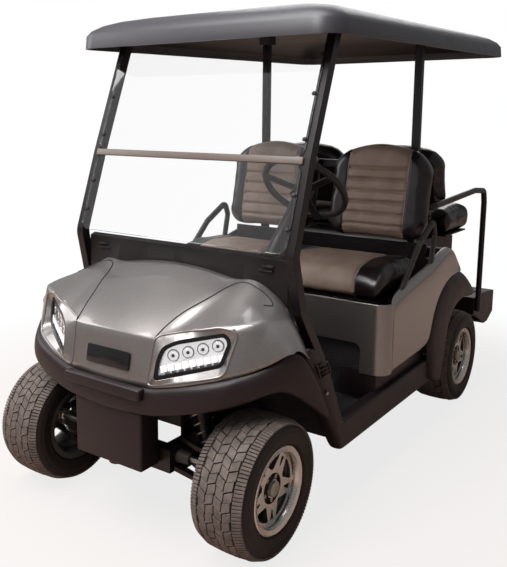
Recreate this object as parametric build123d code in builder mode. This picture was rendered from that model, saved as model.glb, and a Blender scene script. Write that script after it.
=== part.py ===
"""Four-seat electric golf cart with a rear-facing back seat.

The frame is +X to the cart's left, -Y to its front and +Z up, with the origin on
the ground under the middle of the whole cart. Sizes are in millimetres. Stations
named "front" run rearwards from the front axle, those named "rear" from the rear one.
"""
from build123d import *
from math import atan2, cos, degrees, radians, sin, sqrt
import os

os.makedirs("parts", exist_ok=True)

# ---- driving dimensions ----
wheelbase = 1664.0
front_overhang = 238.0
rear_overhang = 819.0
body_half = 590.0            # half width over the side panels
floor_top = 287.0
floor_thickness = 15.0
tyre_radius = 228.5
tyre_width = 205.0
front_tyre_x = 458.5         # middle of the front tyres
rear_tyre_x = 486.5
bead_radius = 127.0          # ten inch wheel
kingpin_x = 385.0
running_clearance = 0.05     # radial, shaft in bore
gap = 0.5                    # between faces that slide past each other

overall_length = front_overhang + wheelbase + rear_overhang
front_axle_y = front_overhang - overall_length / 2
rear_axle_y = front_axle_y + wheelbase


def front(pairs):
    """Turns (station behind the front axle, height) into side view points."""
    return [(front_axle_y + a, z) for a, z in pairs]


def rear(pairs):
    """Turns (station behind the rear axle, height) into side view points."""
    return [(rear_axle_y + a, z) for a, z in pairs]


def finish(piece, label):
    """Names a finished piece and writes its file."""
    piece.part.label = label
    export_step(piece.part, f"parts/{label}.step")


# ---- steering line, used by the frame, the knuckles and the rack ----
tie_rod_ahead = 65.0
tie_rod_z = tyre_radius + 45.5
tie_rod_radius = 10.0
rod_eye_height = 21.0
bellows_radius = 27.0

# ---- frame: two box rails with cross-members and shock towers ----
rail_x = 170.0
rail_width = 50.0
rail_depth = 80.0
rail_low = floor_top - floor_thickness - rail_depth
rail_top = rail_low + rail_depth
front_rail_low = tyre_radius - 0.5
rear_rail_low = tyre_radius + 101.5
tower_top = tyre_radius + 255.5

rail_front_station = -116.0
rail_rear_station = 451.0

tow_hole_station = -160.0
tow_hole_radius = 8.0

front_rail = front([(rail_front_station, front_rail_low), (250, front_rail_low)])
rear_rail = rear([(-300, rail_low), (-210, rear_rail_low), (rail_rear_station, rear_rail_low)])
rail_bottom_line = [front_rail[0], front_rail[1]] + front([(300, rail_low)]) + rear_rail
rail_top_line = [(y + (18 if i in (1, 2) else -18 if i in (3, 4) else 0), z + rail_depth)
                 for i, (y, z) in enumerate(rail_bottom_line)]

with BuildPart() as frame_rails:
    with BuildSketch(Plane.YZ.offset(rail_x - rail_width / 2)):
        Polygon(*rail_bottom_line, *reversed(rail_top_line), align=None)
    extrude(amount=rail_width)
    mirror(about=Plane.YZ)
    cross_members = [            # y, bottom, height, width along Y
        (front_axle_y + rail_front_station + 12.5, front_rail_low, rail_depth, 25),
        (front_axle_y + 210, front_rail_low, rail_depth, 40),
        (front_axle_y + 520, rail_low, rail_depth, 40),
        (rear_axle_y - 480, rail_low, rail_depth, 40),
        (rear_axle_y + 30, rear_rail_low, rail_depth, 40),
        (rear_axle_y + rail_rear_station - 20, rear_rail_low, rail_depth, 40)]
    for y, low, height, depth in cross_members:
        with Locations((0, y, low + height / 2)):
            Box(2 * rail_x, depth, height)
    tower_height = tower_top - front_rail_low - rail_depth
    for side in (-1, 1):
        with Locations((side * (rail_x + rail_width / 2 - 6), front_axle_y,
                        tower_top - tower_height / 2)):
            Box(12, 90, tower_height)
        with Locations((side * 200, front_axle_y, tower_top + 6)):
            Box(98, 90, 12)
    with BuildSketch(Plane.YZ.offset(-rail_x - rail_width)):
        with Locations((front_axle_y - tie_rod_ahead, tie_rod_z)):
            Circle(bellows_radius + 2)
    extrude(amount=2 * (rail_x + rail_width), mode=Mode.SUBTRACT)
    with BuildSketch(Plane.XY.offset(front_rail_low + 10)):
        with Locations((0, front_axle_y + rail_front_station - 22)):
            Rectangle(60, 50)
        with Locations((0, front_axle_y + tow_hole_station)):
            Circle(30)
            Circle(tow_hole_radius, mode=Mode.SUBTRACT)
    extrude(amount=12)
finish(frame_rails, "frame_rails")

# ---- front suspension: two wishbones and a coil-over unit a side ----
knuckle_low = tyre_radius - 53.5
knuckle_high = tyre_radius + 56.5
arm_thick = 16.0
arm_root_x = rail_x + rail_width / 2
coil_radius = 28.0
coil_low = (296.0, tyre_radius - 22.5)
coil_high = (222.0, tower_top)
coil_lean = degrees(atan2(coil_high[0] - coil_low[0], coil_high[1] - coil_low[1]))
coil_length = sqrt((coil_high[0] - coil_low[0]) ** 2 + (coil_high[1] - coil_low[1]) ** 2)

wishbones = [   # root height, outer height, half span at the root, half span at the eye
    (front_rail_low + 2, knuckle_low - gap - arm_thick, 95.0, 24.0),
    (front_rail_low + 102, knuckle_high + gap, 66.0, 20.0)]
arms_low = knuckle_low - 35
arms_height = 200.0
arm_mount_z = coil_low[1] + 7

with BuildPart() as front_suspension:
    for root_z, eye_z, root_span, eye_span in wishbones:
        with BuildSketch(Plane.XZ.offset(-front_axle_y)):
            Polygon((arm_root_x, root_z), (kingpin_x - 30, eye_z), (kingpin_x + 14, eye_z),
                    (kingpin_x + 14, eye_z + arm_thick), (kingpin_x - 30, eye_z + arm_thick),
                    (arm_root_x, root_z + arm_thick), align=None)
        extrude(amount=root_span, both=True)
    with BuildSketch(Plane.XY.offset(arms_low)):
        with Locations((0, front_axle_y)):
            Polygon((arm_root_x, -95), (kingpin_x - 10, -24), (kingpin_x + 14, -16),
                    (kingpin_x + 14, 16), (kingpin_x - 10, 24), (arm_root_x, 95), align=None)
    extrude(amount=arms_height, mode=Mode.INTERSECT)
    with BuildSketch(Plane.XY.offset(arms_low)):
        with Locations((0, front_axle_y)):
            Polygon((arm_root_x + 14, -62), (kingpin_x - 62, -24),
                    (kingpin_x - 62, 24), (arm_root_x + 14, 62), align=None)
    extrude(amount=arms_height, mode=Mode.SUBTRACT)
    with BuildSketch(Plane(origin=(coil_low[0], front_axle_y, coil_low[1]), x_dir=(0, 1, 0),
                           z_dir=(sin(radians(coil_lean)), 0, cos(radians(coil_lean))))):
        Circle(coil_radius)
    extrude(amount=coil_length - 8)
    with Locations((252, front_axle_y, arm_mount_z)):
        Box(14, 110, 14)
    with BuildSketch(Plane.XZ.offset(-front_axle_y)):
        Polygon((arm_root_x, front_rail_low + 2), (325, knuckle_low - 1), (325, coil_low[1] + 2),
                (arm_root_x, front_rail_low + 22), align=None)
    extrude(amount=20, both=True)
    mirror(about=Plane.YZ)
finish(front_suspension, "front_suspension")

# ---- steering knuckles: upright, spindle and steering arm ----
spindle_radius = 12.0
spindle_end_x = front_tyre_x + 12
upright_half = 18.0
hub_start = kingpin_x + upright_half + 6 - front_tyre_x

for name, side in (("knuckle_left", 1), ("knuckle_right", -1)):
    with BuildPart() as knuckle:
        with Locations((side * kingpin_x, front_axle_y, (knuckle_low + knuckle_high) / 2)):
            Cylinder(upright_half, knuckle_high - knuckle_low)
            Box(2 * upright_half, 50, 64)
        with BuildSketch(Plane(origin=(side * kingpin_x, front_axle_y, tyre_radius),
                               x_dir=(0, 1, 0), z_dir=(side, 0, 0))):
            Circle(spindle_radius)
        extrude(amount=spindle_end_x - kingpin_x)
        pad_top = tie_rod_z - rod_eye_height / 2 - gap
        with BuildSketch(Plane.XY.offset(pad_top - 18)):
            with Locations((side * kingpin_x, front_axle_y - tie_rod_ahead)):
                Circle(14)
            with Locations((side * kingpin_x, front_axle_y - tie_rod_ahead / 2)):
                Rectangle(22, tie_rod_ahead)
        extrude(amount=18)
    finish(knuckle, name)

# ---- rack and pinion steering: fixed housing and the sliding tie rod bar ----
rack_y = front_axle_y - tie_rod_ahead
rack_half = 168.0
bellows_end = 246.0

with BuildPart() as steering_rack:
    with BuildSketch(Plane.YZ.offset(-rack_half)):
        with Locations((rack_y, tie_rod_z)):
            Circle(rack_y - front_axle_y - rail_front_station - 25)
    extrude(amount=2 * rack_half)
    for side in (-1, 1):
        with BuildSketch(Plane(origin=(side * rack_half, rack_y, tie_rod_z),
                               x_dir=(0, 1, 0), z_dir=(side, 0, 0))):
            Circle(bellows_radius)
        extrude(amount=bellows_end - rack_half, taper=5)
    with BuildSketch(Plane.YZ.offset(-bellows_end)):
        with Locations((rack_y, tie_rod_z)):
            Circle(tie_rod_radius + running_clearance)
    extrude(amount=2 * bellows_end, mode=Mode.SUBTRACT)
finish(steering_rack, "steering_rack")

with BuildPart() as tie_rods:
    with BuildSketch(Plane.YZ.offset(-kingpin_x)):
        with Locations((rack_y, tie_rod_z)):
            Circle(tie_rod_radius)
    extrude(amount=2 * kingpin_x)
    with Locations((kingpin_x, rack_y, tie_rod_z), (-kingpin_x, rack_y, tie_rod_z)):
        Cylinder(15, rod_eye_height)
finish(tie_rods, "tie_rods")

# ---- wheels: tyre carcass and alloy rim ----
half_tread = tyre_width / 2
rim_half = 88.0
disc_face = 66.0
disc_back = 46.0
spokes = 5
rim_well = 117.0
recess_radius = 50.0             # round the cap, where the wheel nuts sit
recess_floor = 52.0
cap_radius = 30.0
window_outer = 109.0

# the two kinds of opening between the split spokes, drawn about the +X direction
with BuildSketch() as wide_window:
    with BuildLine():
        Line((63, -5), (window_outer * cos(radians(24)), -window_outer * sin(radians(24))))
        ThreePointArc((window_outer * cos(radians(24)), -window_outer * sin(radians(24))),
                      (window_outer, 0),
                      (window_outer * cos(radians(24)), window_outer * sin(radians(24))))
        Line((window_outer * cos(radians(24)), window_outer * sin(radians(24))), (63, 5))
        Line((63, 5), (63, -5))
    make_face()
    fillet(wide_window.vertices(), 4)
with BuildSketch() as narrow_window:
    Polygon((74, -3), (106, -9), (106, 9), (74, 3), align=None)
    fillet(narrow_window.vertices(), 2)

tyre_outer = [   # across from the wheel's middle, radius
    (half_tread - 18, bead_radius), (half_tread - 15, bead_radius + 18),
    (half_tread, bead_radius + 55), (half_tread - 4, tyre_radius - 24),
    (half_tread - 18, tyre_radius - 7), (half_tread - 45, tyre_radius - 2), (0, tyre_radius)]
tyre_inner = [
    (half_tread - 38, bead_radius), (half_tread - 28, bead_radius + 24),
    (half_tread - 13, bead_radius + 55), (half_tread - 20, tyre_radius - 22),
    (half_tread - 45, tyre_radius - 15), (0, tyre_radius - 13)]
rim_section = [
    (-93, 143), (-rim_half, 143), (-rim_half, bead_radius), (-64, bead_radius), (-56, 113),
    (44, 113), (64, bead_radius), (rim_half, bead_radius), (rim_half, 143), (93, 143),
    (95, 138), (91, 124), (80, 118), (62, 116), (48, 105), (-58, 105), (-80, 119), (-93, 124)]


def tyre_profile():
    left = [(-x, r) for x, r in tyre_outer]
    right = [(x, r) for x, r in reversed(tyre_outer[:-1])]
    inner = [(x, r) for x, r in tyre_inner[:-1]] + [tyre_inner[-1]]
    inner_left = [(-x, r) for x, r in reversed(tyre_inner[:-1])]
    return left + right + inner + inner_left


def make_wheel(name, cx, cy, side, bore_radius, hub_in, hub_out, drum):
    """A tyre and its rim on the X axis through (cx, cy); side is the outboard way."""
    middle = (cx, cy, tyre_radius)
    section = Plane(origin=middle, x_dir=(1, 0, 0), z_dir=(0, -1, 0))
    spin = Axis(middle, (1, 0, 0))
    with BuildPart() as tyre:
        with BuildSketch(section):
            Polygon(*tyre_profile(), align=None)
        revolve(axis=spin)
    finish(tyre, name + "_tyre")

    outboard = Plane(origin=middle, x_dir=(0, 1, 0), z_dir=(side, 0, 0))
    with BuildPart() as rim:
        with BuildSketch(section):
            Polygon(*[(side * x, r) for x, r in rim_section], align=None)
        revolve(axis=spin)
        with BuildSketch(outboard.offset(disc_back)):
            Circle(rim_well)
            for window, turn in ((wide_window, 90), (narrow_window, 90 + 180 / spokes)):
                with PolarLocations(0, spokes, start_angle=turn):
                    add(window.sketch, mode=Mode.SUBTRACT)
        extrude(amount=disc_face - disc_back)
        with BuildSketch(outboard.offset(recess_floor)):
            Circle(recess_radius)
        extrude(amount=30, mode=Mode.SUBTRACT)
        with BuildSketch(outboard.offset(hub_in)):
            Circle(cap_radius)
        extrude(amount=hub_out - hub_in)
        if drum:
            with BuildSketch(outboard.offset(drum[0])):
                Circle(98)
            extrude(amount=drum[1] - drum[0])
        with BuildSketch(outboard.offset(hub_in)):
            Circle(bore_radius)
        extrude(amount=40 + hub_out - hub_in - 60, mode=Mode.SUBTRACT)
    finish(rim, name + "_rim")


hub_face = 68.0
wheels = [   # name, x of its middle, y, outboard way, drum from and to
    ("front_left", front_tyre_x, front_axle_y, 1, None),
    ("front_right", -front_tyre_x, front_axle_y, -1, None),
    ("rear_left", rear_tyre_x, rear_axle_y, 1, (-70.0, -30.0)),
    ("rear_right", -rear_tyre_x, rear_axle_y, -1, (-70.0, -30.0))]
half_shaft_radius = 15.0
for name, cx, cy, side, drum in wheels:
    if drum:
        make_wheel(name, cx, cy, side, half_shaft_radius + running_clearance,
                   drum[0], hub_face, drum)
    else:
        make_wheel(name, cx, cy, side, spindle_radius + running_clearance,
                   hub_start, hub_face, drum)

# ---- rear axle: housing, motor, leaf springs and dampers ----
axle_tube_radius = 34.0
axle_end = rear_tyre_x - 76
leaf_x = 290.0
leaf_width = 50.0
leaf_half_span = 300.0

with BuildPart() as rear_axle:
    with BuildSketch(Plane.YZ.offset(-axle_end)):
        with Locations((rear_axle_y, tyre_radius)):
            Circle(axle_tube_radius)
    extrude(amount=2 * axle_end)
    with BuildSketch(Plane.YZ.offset(-(rear_tyre_x - 18))):
        with Locations((rear_axle_y, tyre_radius)):
            Circle(half_shaft_radius)
    extrude(amount=2 * (rear_tyre_x - 18))
    with Locations((0, rear_axle_y, tyre_radius)):
        Cylinder(86, 130, rotation=(0, 90, 0))
    with Locations((20, rear_axle_y + 150, tyre_radius + 20)):
        Cylinder(84, 250, rotation=(0, 90, 0))
    with Locations((-95, rear_axle_y + 75, tyre_radius + 6)):
        Box(40, 230, 110)
    for side in (-1, 1):
        with BuildSketch(Plane.YZ.offset(side * leaf_x - leaf_width / 2)):
            with BuildLine():
                low = ThreePointArc((rear_axle_y - leaf_half_span, rear_rail_low - 4),
                                    (rear_axle_y, tyre_radius + axle_tube_radius - 6),
                                    (rear_axle_y + leaf_half_span, rear_rail_low - 4))
                Line(low @ 1, (rear_axle_y + leaf_half_span, rear_rail_low + 14))
                ThreePointArc((rear_axle_y + leaf_half_span, rear_rail_low + 14),
                              (rear_axle_y, tyre_radius + axle_tube_radius + 22),
                              (rear_axle_y - leaf_half_span, rear_rail_low + 14))
                Line((rear_axle_y - leaf_half_span, rear_rail_low + 14), low @ 0)
            make_face()
        extrude(amount=leaf_width)
        for end in (-1, 1):
            inner = rail_x + rail_width / 2
            with Locations((side * (inner + leaf_x + leaf_width / 2) / 2,
                            rear_axle_y + end * (leaf_half_span - 8), rear_rail_low + 24)):
                Box(leaf_x + leaf_width / 2 - inner, 30, 56)
finish(rear_axle, "rear_axle")

# ---- floor pan and toe board ----
riser_inner_x = 522.0
toe_foot = (350.0, floor_top - floor_thickness)
toe_head = (214.0, 612.0)
kick_top = 646.0
kick_thick = 8.0
panel_wall = 10.0
box_front = -964.0

with BuildPart() as floor_pan:
    with BuildSketch(Plane.YZ.offset(-riser_inner_x)):
        box_y = rear_axle_y - 930.5
        Polygon((front_axle_y + toe_foot[0], toe_foot[1]), (box_y, toe_foot[1]),
                (box_y, kick_top), (box_y - kick_thick, kick_top),
                (box_y - kick_thick, floor_top), (front_axle_y + toe_foot[0] + 12, floor_top),
                (front_axle_y + toe_head[0] + 14, toe_head[1] + 4),
                (front_axle_y + toe_head[0], toe_head[1]), align=None)
    extrude(amount=2 * riser_inner_x)
    lug_far = box_y - kick_thick
    lug_near = rear_axle_y + box_front + panel_wall + gap
    for side in (-1, 1):
        with Locations((side * 400, (lug_near + lug_far) / 2, kick_top - 30)):
            Box(60, lug_far - lug_near, 30)
finish(floor_pan, "floor_pan")

# ---- rocker panels: riser behind the front wheel and sill under the doorway ----
riser_outline = front([(100, 625), (130, 575), (252, 406), (334, 288), (379, 226), (400, 223)])
sill_outline = rear([(-352, 223), (-352, 300), (-420, 340), (-900, 336)])
inner_corner = front([(392, 330), (280, 551), (205, 636), (170, 655)])

with BuildPart() as rocker_panels:
    with BuildSketch(Plane.YZ.offset(riser_inner_x)):
        Polygon(*riser_outline, *sill_outline, *inner_corner, align=None)
    extrude(amount=body_half - 14.5 - riser_inner_x)
    mirror(about=Plane.YZ)
finish(rocker_panels, "rocker_panels")

# ---- nose cowl: painted shell from the bumper to the windscreen ----
cowl_wall = [(7, 0), (6, -6), (1, -8), (0, -8), (-2, -8), (-5, -7)]   # inwards at each point
cowl_sections = [   # x, then side view points: bumper edge, lip, fender, crease, hood, rear edge
    (0, [(-210, 544), (-180, 705), (-150, 728), (-100, 760), (0, 812), (158, 886)]),
    (90, [(-206, 545.2), (-177, 704), (-148, 726), (-98, 758), (0, 809), (158, 882)]),
    (180, [(-200, 551), (-168, 700), (-152, 712), (-100, 752), (0, 802), (156, 872)]),
    (222, [(-196, 561.8), (-160, 705), (-130, 725), (-100, 748), (0, 797), (154, 866)]),
    (262, [(-189, 572), (-148, 711), (-66, 748), (30, 803), (90, 828), (151, 856)]),
    (294, [(-184, 579.5), (-138, 716), (-20, 770), (128, 840), (140, 845.5), (150, 848)]),
    (350, [(-164, 598), (-118, 728), (10, 778), (120, 812), (136, 818), (154, 824)]),
    (410, [(-137, 619), (-84, 737), (26, 774), (124, 790), (142, 793), (164, 792)]),
    (460, [(-96, 635), (-54, 738), (44, 768), (128, 772), (146, 772), (170, 768)]),
    (500, [(-56, 655), (-26, 732), (56, 752), (126, 750), (144, 746), (166, 738)]),
    (540, [(-16, 689), (4, 722), (66, 734), (118, 722), (134, 714), (150, 704)]),
    (560, [(6, 694.5), (16, 706), (60, 716), (104, 704), (124, 690), (143, 674)]),
    (576, [(7, 694.5), (18, 699), (60, 696), (100, 674), (120, 661), (136, 650)]),
    (586, [(8, 694.5), (20, 696), (60, 686), (100, 658), (114, 648), (124, 641)])]


def cowl_ribbon(points):
    outer = front(points)
    inner = [(y + dy, z + dz) for (y, z), (dy, dz) in zip(outer, cowl_wall)]
    return outer + list(reversed(inner))


# the headlights sit in openings of the cowl, on a plane turned out and tipped back
lamp_gap = 0.5
lamp_depth = 26.0
lamp_recess = 10.0
surround_width = 20.0
surround_depth = 14.0
lamp_outline = [(-112, -66), (90, -42), (118, 20), (100, 52), (-62, 50), (-112, 0)]
lamp_plane = Plane(origin=(300, front_axle_y - 158, 655), x_dir=(0.89, 0.456, 0),
                   z_dir=(0.45, -0.878, 0.16))
mirrored_lamp_plane = Plane(origin=(-300, front_axle_y - 158, 655), x_dir=(0.89, -0.456, 0),
                            z_dir=(-0.45, -0.878, 0.16))

with BuildPart() as cowl:
    for x, points in [(-x, p) for x, p in reversed(cowl_sections[1:])] + cowl_sections:
        with BuildSketch(Plane.YZ.offset(x)):
            Polygon(*cowl_ribbon(points), align=None)
    loft(ruled=True)
    for plane, way in ((lamp_plane, 1), (mirrored_lamp_plane, -1)):
        outline = [(way * u, v) for u, v in lamp_outline]
        with BuildSketch(plane.offset(-lamp_depth)):
            Polygon(*outline, align=None)
            offset(amount=surround_width)
        extrude(amount=lamp_depth - 6)
        with BuildSketch(plane.offset(-surround_depth)):
            Polygon(*outline, align=None)
            offset(amount=2.0)
        extrude(amount=60, taper=-38, mode=Mode.SUBTRACT)
        with BuildSketch(plane.offset(-60)):
            Polygon(*outline, align=None)
            offset(amount=lamp_gap)
        extrude(amount=90, mode=Mode.SUBTRACT)
finish(cowl, "cowl")

# ---- front bumper: moulded band that runs back into the wheel arch flares ----
band_sections = [   # x, station of the outer face, lower edge, upper edge, station of the cowl
    (0, -231, 452, 543, -210), (163, -217, 456, 546, -201), (222, -211, 466, 561, -196),
    (305, -196, 490, 581.5, -182), (400, -166, 528, 614, -143), (470, -112, 548, 636, -88),
    (525, -68, 562, 668, -34)]
band_wall = 9.0
flare_plan = [(515, -78), (525, -68), (565, 0), (590, 90), (594, 262)]
flare_wall = 14.0
flare_side_view = front([(-84, 660), (-68, 668), (-36, 682), (5, 692), (60, 676), (100, 648),
                         (182, 590), (262, 470), (262, 400), (213, 420), (155, 454), (77, 519),
                         (-5, 570), (-84, 556)])


def band_section(face, low, top, behind):
    """Side view of the moulded band: rounded lower lip, upright face, shelf up to the cowl."""
    return front([(face + 16, low), (face + 3, low + 6), (face, low + 22), (face + 2, top - 26),
                  (face + 8, top - 10), (behind, top), (behind + 8, top), (behind + 8, top - 8),
                  (face + 8 + band_wall, top - 18), (face + 2 + band_wall, top - 31.5),
                  (face + band_wall, low + 22), (face + 16, low + 8)])


nose_box = (152.0, -208.0, rail_front_station, front_rail_low + 25, 427.0)   # half width, stations, heights

with BuildPart() as front_bumper:
    outer = [(x, front_axle_y + a) for x, a in flare_plan]
    inner = [(x - flare_wall * (0.5 if a < 0 else 1), y + (0 if a > 50 else flare_wall * 0.6))
             for (x, y), (_, a) in zip(outer, flare_plan)]
    with BuildSketch(Plane.XY.offset(390)):
        Polygon(*outer, *reversed(inner), align=None)
        mirror(about=Plane.YZ)
    extrude(amount=320)
    with BuildSketch(Plane.YZ.offset(-620)):
        Polygon(*flare_side_view, align=None)
    extrude(amount=1240, mode=Mode.INTERSECT)
    for x, *row in [(-x, *row) for x, *row in reversed(band_sections[1:])] + band_sections:
        with BuildSketch(Plane.YZ.offset(x)):
            Polygon(*band_section(*row), align=None)
    loft(ruled=True)
    for x, face in ((-168, -210), (-158, -224), (0, -front_overhang), (158, -224), (168, -210)):
        with BuildSketch(Plane.YZ.offset(x)):
            Polygon(*front([(face, 504), (face, 530), (-204, 542), (-204, 490)]), align=None)
    loft(ruled=True)
    half, near, far, low, top = nose_box
    with BuildSketch(Plane.YZ.offset(-half)):
        Polygon(*front([(near, low), (far, low), (far, top + 30), (near - 14, top + 30),
                        (near - 2, top)]), align=None)
    extrude(amount=2 * half)
    with BuildSketch(Plane.YZ.offset(-half + 5)):
        Polygon(*front([(near + 5, low - 10), (far + 10, low - 10), (far + 10, top - 6),
                        (near + 5, top - 6)]), align=None)
    extrude(amount=2 * half - 10, mode=Mode.SUBTRACT)
finish(front_bumper, "front_bumper")

# ---- headlights ----
with BuildPart() as headlights:
    with BuildSketch(lamp_plane.offset(-lamp_depth)):
        Polygon(*lamp_outline, align=None)
    extrude(amount=lamp_depth - lamp_recess)
    mirror(about=Plane.YZ)
finish(headlights, "headlights")

# ---- dashboard: cowl top, dash face and two open pockets ----
dash_edges = [(0, 158.8, 886), (180, 156.8, 872), (294, 150.8, 848), (350, 154.8, 824),
              (410, 164.8, 792), (464, 170.8, 766)]
dash_top = [(174, 934), (196, 942), (330, 905), (384, 851)]
dash_low = [(370, 700), (330, 640), (228, 616.5), (214, 612.5)]
dash_pocket = (40.0, 420.0, 260.0, 740.0, 826.0)   # x from, x to, station from, heights


def dash_section(station, height):
    """Side view of the dash whose front edge seats behind the cowl's rear edge."""
    return front([(station, height)] + dash_top + dash_low + [(station + 4, height - 70)])


with BuildPart() as dashboard:
    for x, station, height in [(-x, a, z) for x, a, z in reversed(dash_edges[1:])] + dash_edges:
        with BuildSketch(Plane.YZ.offset(x)):
            Polygon(*dash_section(station, height), align=None)
    loft(ruled=True)
    x0, x1, a0, z0, z1 = dash_pocket
    for side in (-1, 1):
        with Locations((side * (x0 + x1) / 2, front_axle_y + a0 + 80, (z0 + z1) / 2)):
            Box(x1 - x0, 160, z1 - z0, mode=Mode.SUBTRACT)
finish(dashboard, "dashboard")

# ---- canopy struts at the front, bent over the risers ----
strut_path = [(495, 398, 270), (495, 339, 558), (495, 200, 760), (489, 156, 950),
              (484, 259, 1264), (482, 431.3, 1720)]
strut_top = 1700.0
strut_size = (34.0, 38.0)

with BuildPart() as front_struts:
    points = [(x, front_axle_y + a, z) for x, a, z in strut_path]
    with BuildLine() as line:
        FilletPolyline(*points, radius=60)
    with BuildSketch(Plane(origin=points[0], x_dir=(1, 0, 0), z_dir=line.line % 0)):
        Rectangle(*strut_size)
    sweep()
    with Locations((495, front_axle_y + 390, floor_top - 50)):
        Box(100, 200, 100, mode=Mode.SUBTRACT)
    with Locations((482, front_axle_y + 420, strut_top + 50)):
        Box(100, 200, 100, mode=Mode.SUBTRACT)
    mirror(about=Plane.YZ)
finish(front_struts, "front_struts")

# ---- windscreen: two panes and the folding strip between them ----
pane_thick = 5.0
pane_ahead = 25.8
pane_half = 478.0
pane_low = [(159.9 - pane_ahead, 962), (253.7 - pane_ahead, 1248)]
pane_high = [(262 - pane_ahead, 1272), (404 - pane_ahead, 1652)]

with BuildPart() as windscreen:
    for low, high in (pane_low, pane_high):
        with BuildSketch(Plane.YZ.offset(-pane_half)):
            Polygon(*front([low, high, (high[0] + pane_thick, high[1]),
                            (low[0] + pane_thick, low[1])]), align=None)
        extrude(amount=2 * pane_half)
    with BuildSketch(Plane.YZ.offset(-pane_half)):
        Polygon(*front([(222, 1240), (235, 1278), (239.5, 1276), (229.5, 1243)]), align=None)
    extrude(amount=2 * pane_half)
finish(windscreen, "windscreen")

# ---- canopy: moulded shell with a chamfered skirt, tilted up to the rear ----
canopy_tilt = 1.75
rear_strut_x = 410.0
rear_strut_station = -300.0
rear_strut_low = 690.0
rear_strut_top = 1768.0
canopy_wall = 12.0
canopy_sections = [   # height, half width, front station, rear station, corner radius
    (0, 585, 236, 2090, 90), (48, 581, 240, 2086, 88), (68, 566, 255, 2071, 84),
    (88, 534, 288, 2038, 80), (104, 488, 334, 1992, 80), (120, 410, 414, 1912, 80),
    (131, 310, 520, 1806, 80), (138, 170, 660, 1666, 80)]
canopy_base = Plane(origin=(0, front_axle_y, 1656), x_dir=(1, 0, 0),
                    z_dir=(0, -sin(radians(canopy_tilt)), cos(radians(canopy_tilt))))


with BuildPart() as canopy:
    for height, half, near, far, corner in canopy_sections:
        with BuildSketch(canopy_base.offset(height)):
            with Locations((0, (near + far) / 2)):
                RectangleRounded(2 * half, far - near, corner)
    loft(ruled=True)
    for height, half, near, far, corner in canopy_sections:
        with BuildSketch(canopy_base.offset(height - canopy_wall)):
            with Locations((0, (near + far) / 2)):
                RectangleRounded(2 * (half - canopy_wall), far - near - 2 * canopy_wall,
                                 corner - canopy_wall)
    loft(ruled=True, mode=Mode.SUBTRACT)
    pads = [   # x, y, lower face, upper face buried in the shell
        (482, front_axle_y + 424, strut_top, 1760),
        (rear_strut_x, rear_axle_y + rear_strut_station, rear_strut_top, 1810)]
    for x, y, low, high in pads:
        for side in (-1, 1):
            with Locations((side * x, y, (low + high) / 2)):
                Box(60, 60, high - low)
finish(canopy, "canopy")

# ---- rear struts ----
strut_front_face = rear_strut_station - 17.0
rear_strut_size = (34.0, 34.0)

with BuildPart() as rear_struts:
    with BuildSketch(Plane.XY.offset(rear_strut_low)):
        with Locations((rear_strut_x, rear_axle_y + rear_strut_station)):
            Rectangle(*rear_strut_size)
    extrude(amount=rear_strut_top - rear_strut_low)
    mirror(about=Plane.YZ)
finish(rear_struts, "rear_struts")

# ---- seat box: painted front, painted sides, black flares round the rear wheels ----
corner_radius = 60.0
box_low = 400.0
box_top = 688.0

with BuildPart() as seat_box_front:
    y0 = rear_axle_y + box_front
    y1 = y0 + corner_radius + 6
    with BuildSketch(Plane.XY.offset(box_low)):
        with BuildLine():
            FilletPolyline((-body_half, y1), (-body_half, y0), (body_half, y0),
                           (body_half, y1), radius=corner_radius)
            FilletPolyline((-body_half + panel_wall, y1), (-body_half + panel_wall, y0 + panel_wall),
                           (body_half - panel_wall, y0 + panel_wall),
                           (body_half - panel_wall, y1), radius=corner_radius - panel_wall)
            Line((-body_half, y1), (-body_half + panel_wall, y1))
            Line((body_half, y1), (body_half - panel_wall, y1))
        make_face()
    extrude(amount=box_top - box_low)
    with BuildSketch(Plane(origin=(0, y0 + 40, box_low + 30), x_dir=(1, 0, 0), z_dir=(0, -1, 0))):
        RectangleRounded(960, 180, 30)
    extrude(amount=80, mode=Mode.SUBTRACT)
finish(seat_box_front, "seat_box_front")

with BuildPart() as side_panels:
    with BuildSketch(Plane.YZ.offset(body_half - panel_wall)):
        Polygon(*rear([(box_front + corner_radius + 6.5, 688), (-838, 716), (-575, 769), (-240, 820),
                       (-268, 691), (-366, 631), (-444, 544), (-478, 424),
                       (-687, 408), (box_front + corner_radius + 6.5, 404)]), align=None)
    extrude(amount=panel_wall)
    mirror(about=Plane.YZ)
finish(side_panels, "side_panels")

arch_top = 2 * tyre_radius + 88
flare_outer = [(-472, 424), (-440, 540), (-362, 627), (-264, 688), (-238, 816),
               (-149, 740), (-78, 680), (18, arch_top + 69), (75, arch_top + 2)]
flare_inner = [(67, arch_top - 18), (-96, arch_top), (-252, arch_top - 15), (-362, 402),
               (-353, 224), (-470, 300)]

with BuildPart() as rear_flares:
    with BuildSketch(Plane.YZ.offset(body_half - 14)):
        Polygon(*rear(flare_outer), *rear(flare_inner), align=None)
    extrude(amount=24)
    mirror(about=Plane.YZ)
finish(rear_flares, "rear_flares")

# ---- hinges of the two seats: ears and pins on the body, knuckles on the pans ----
seat_hinge = (-494.0, 686.0)     # station, height
rear_hinge = (334.0, 826.0)
hinge_x = 300.0
hinge_half = 30.0
pin_radius = 5.0
knuckle_radius = 9.0
ear_thick = 8.0

# ---- body under the rear seat: deck, back wall and inner arches ----
deck_top = 812.0
deck_half = 560.0
deck_near = -278.0
deck_far = 322.0

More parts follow.
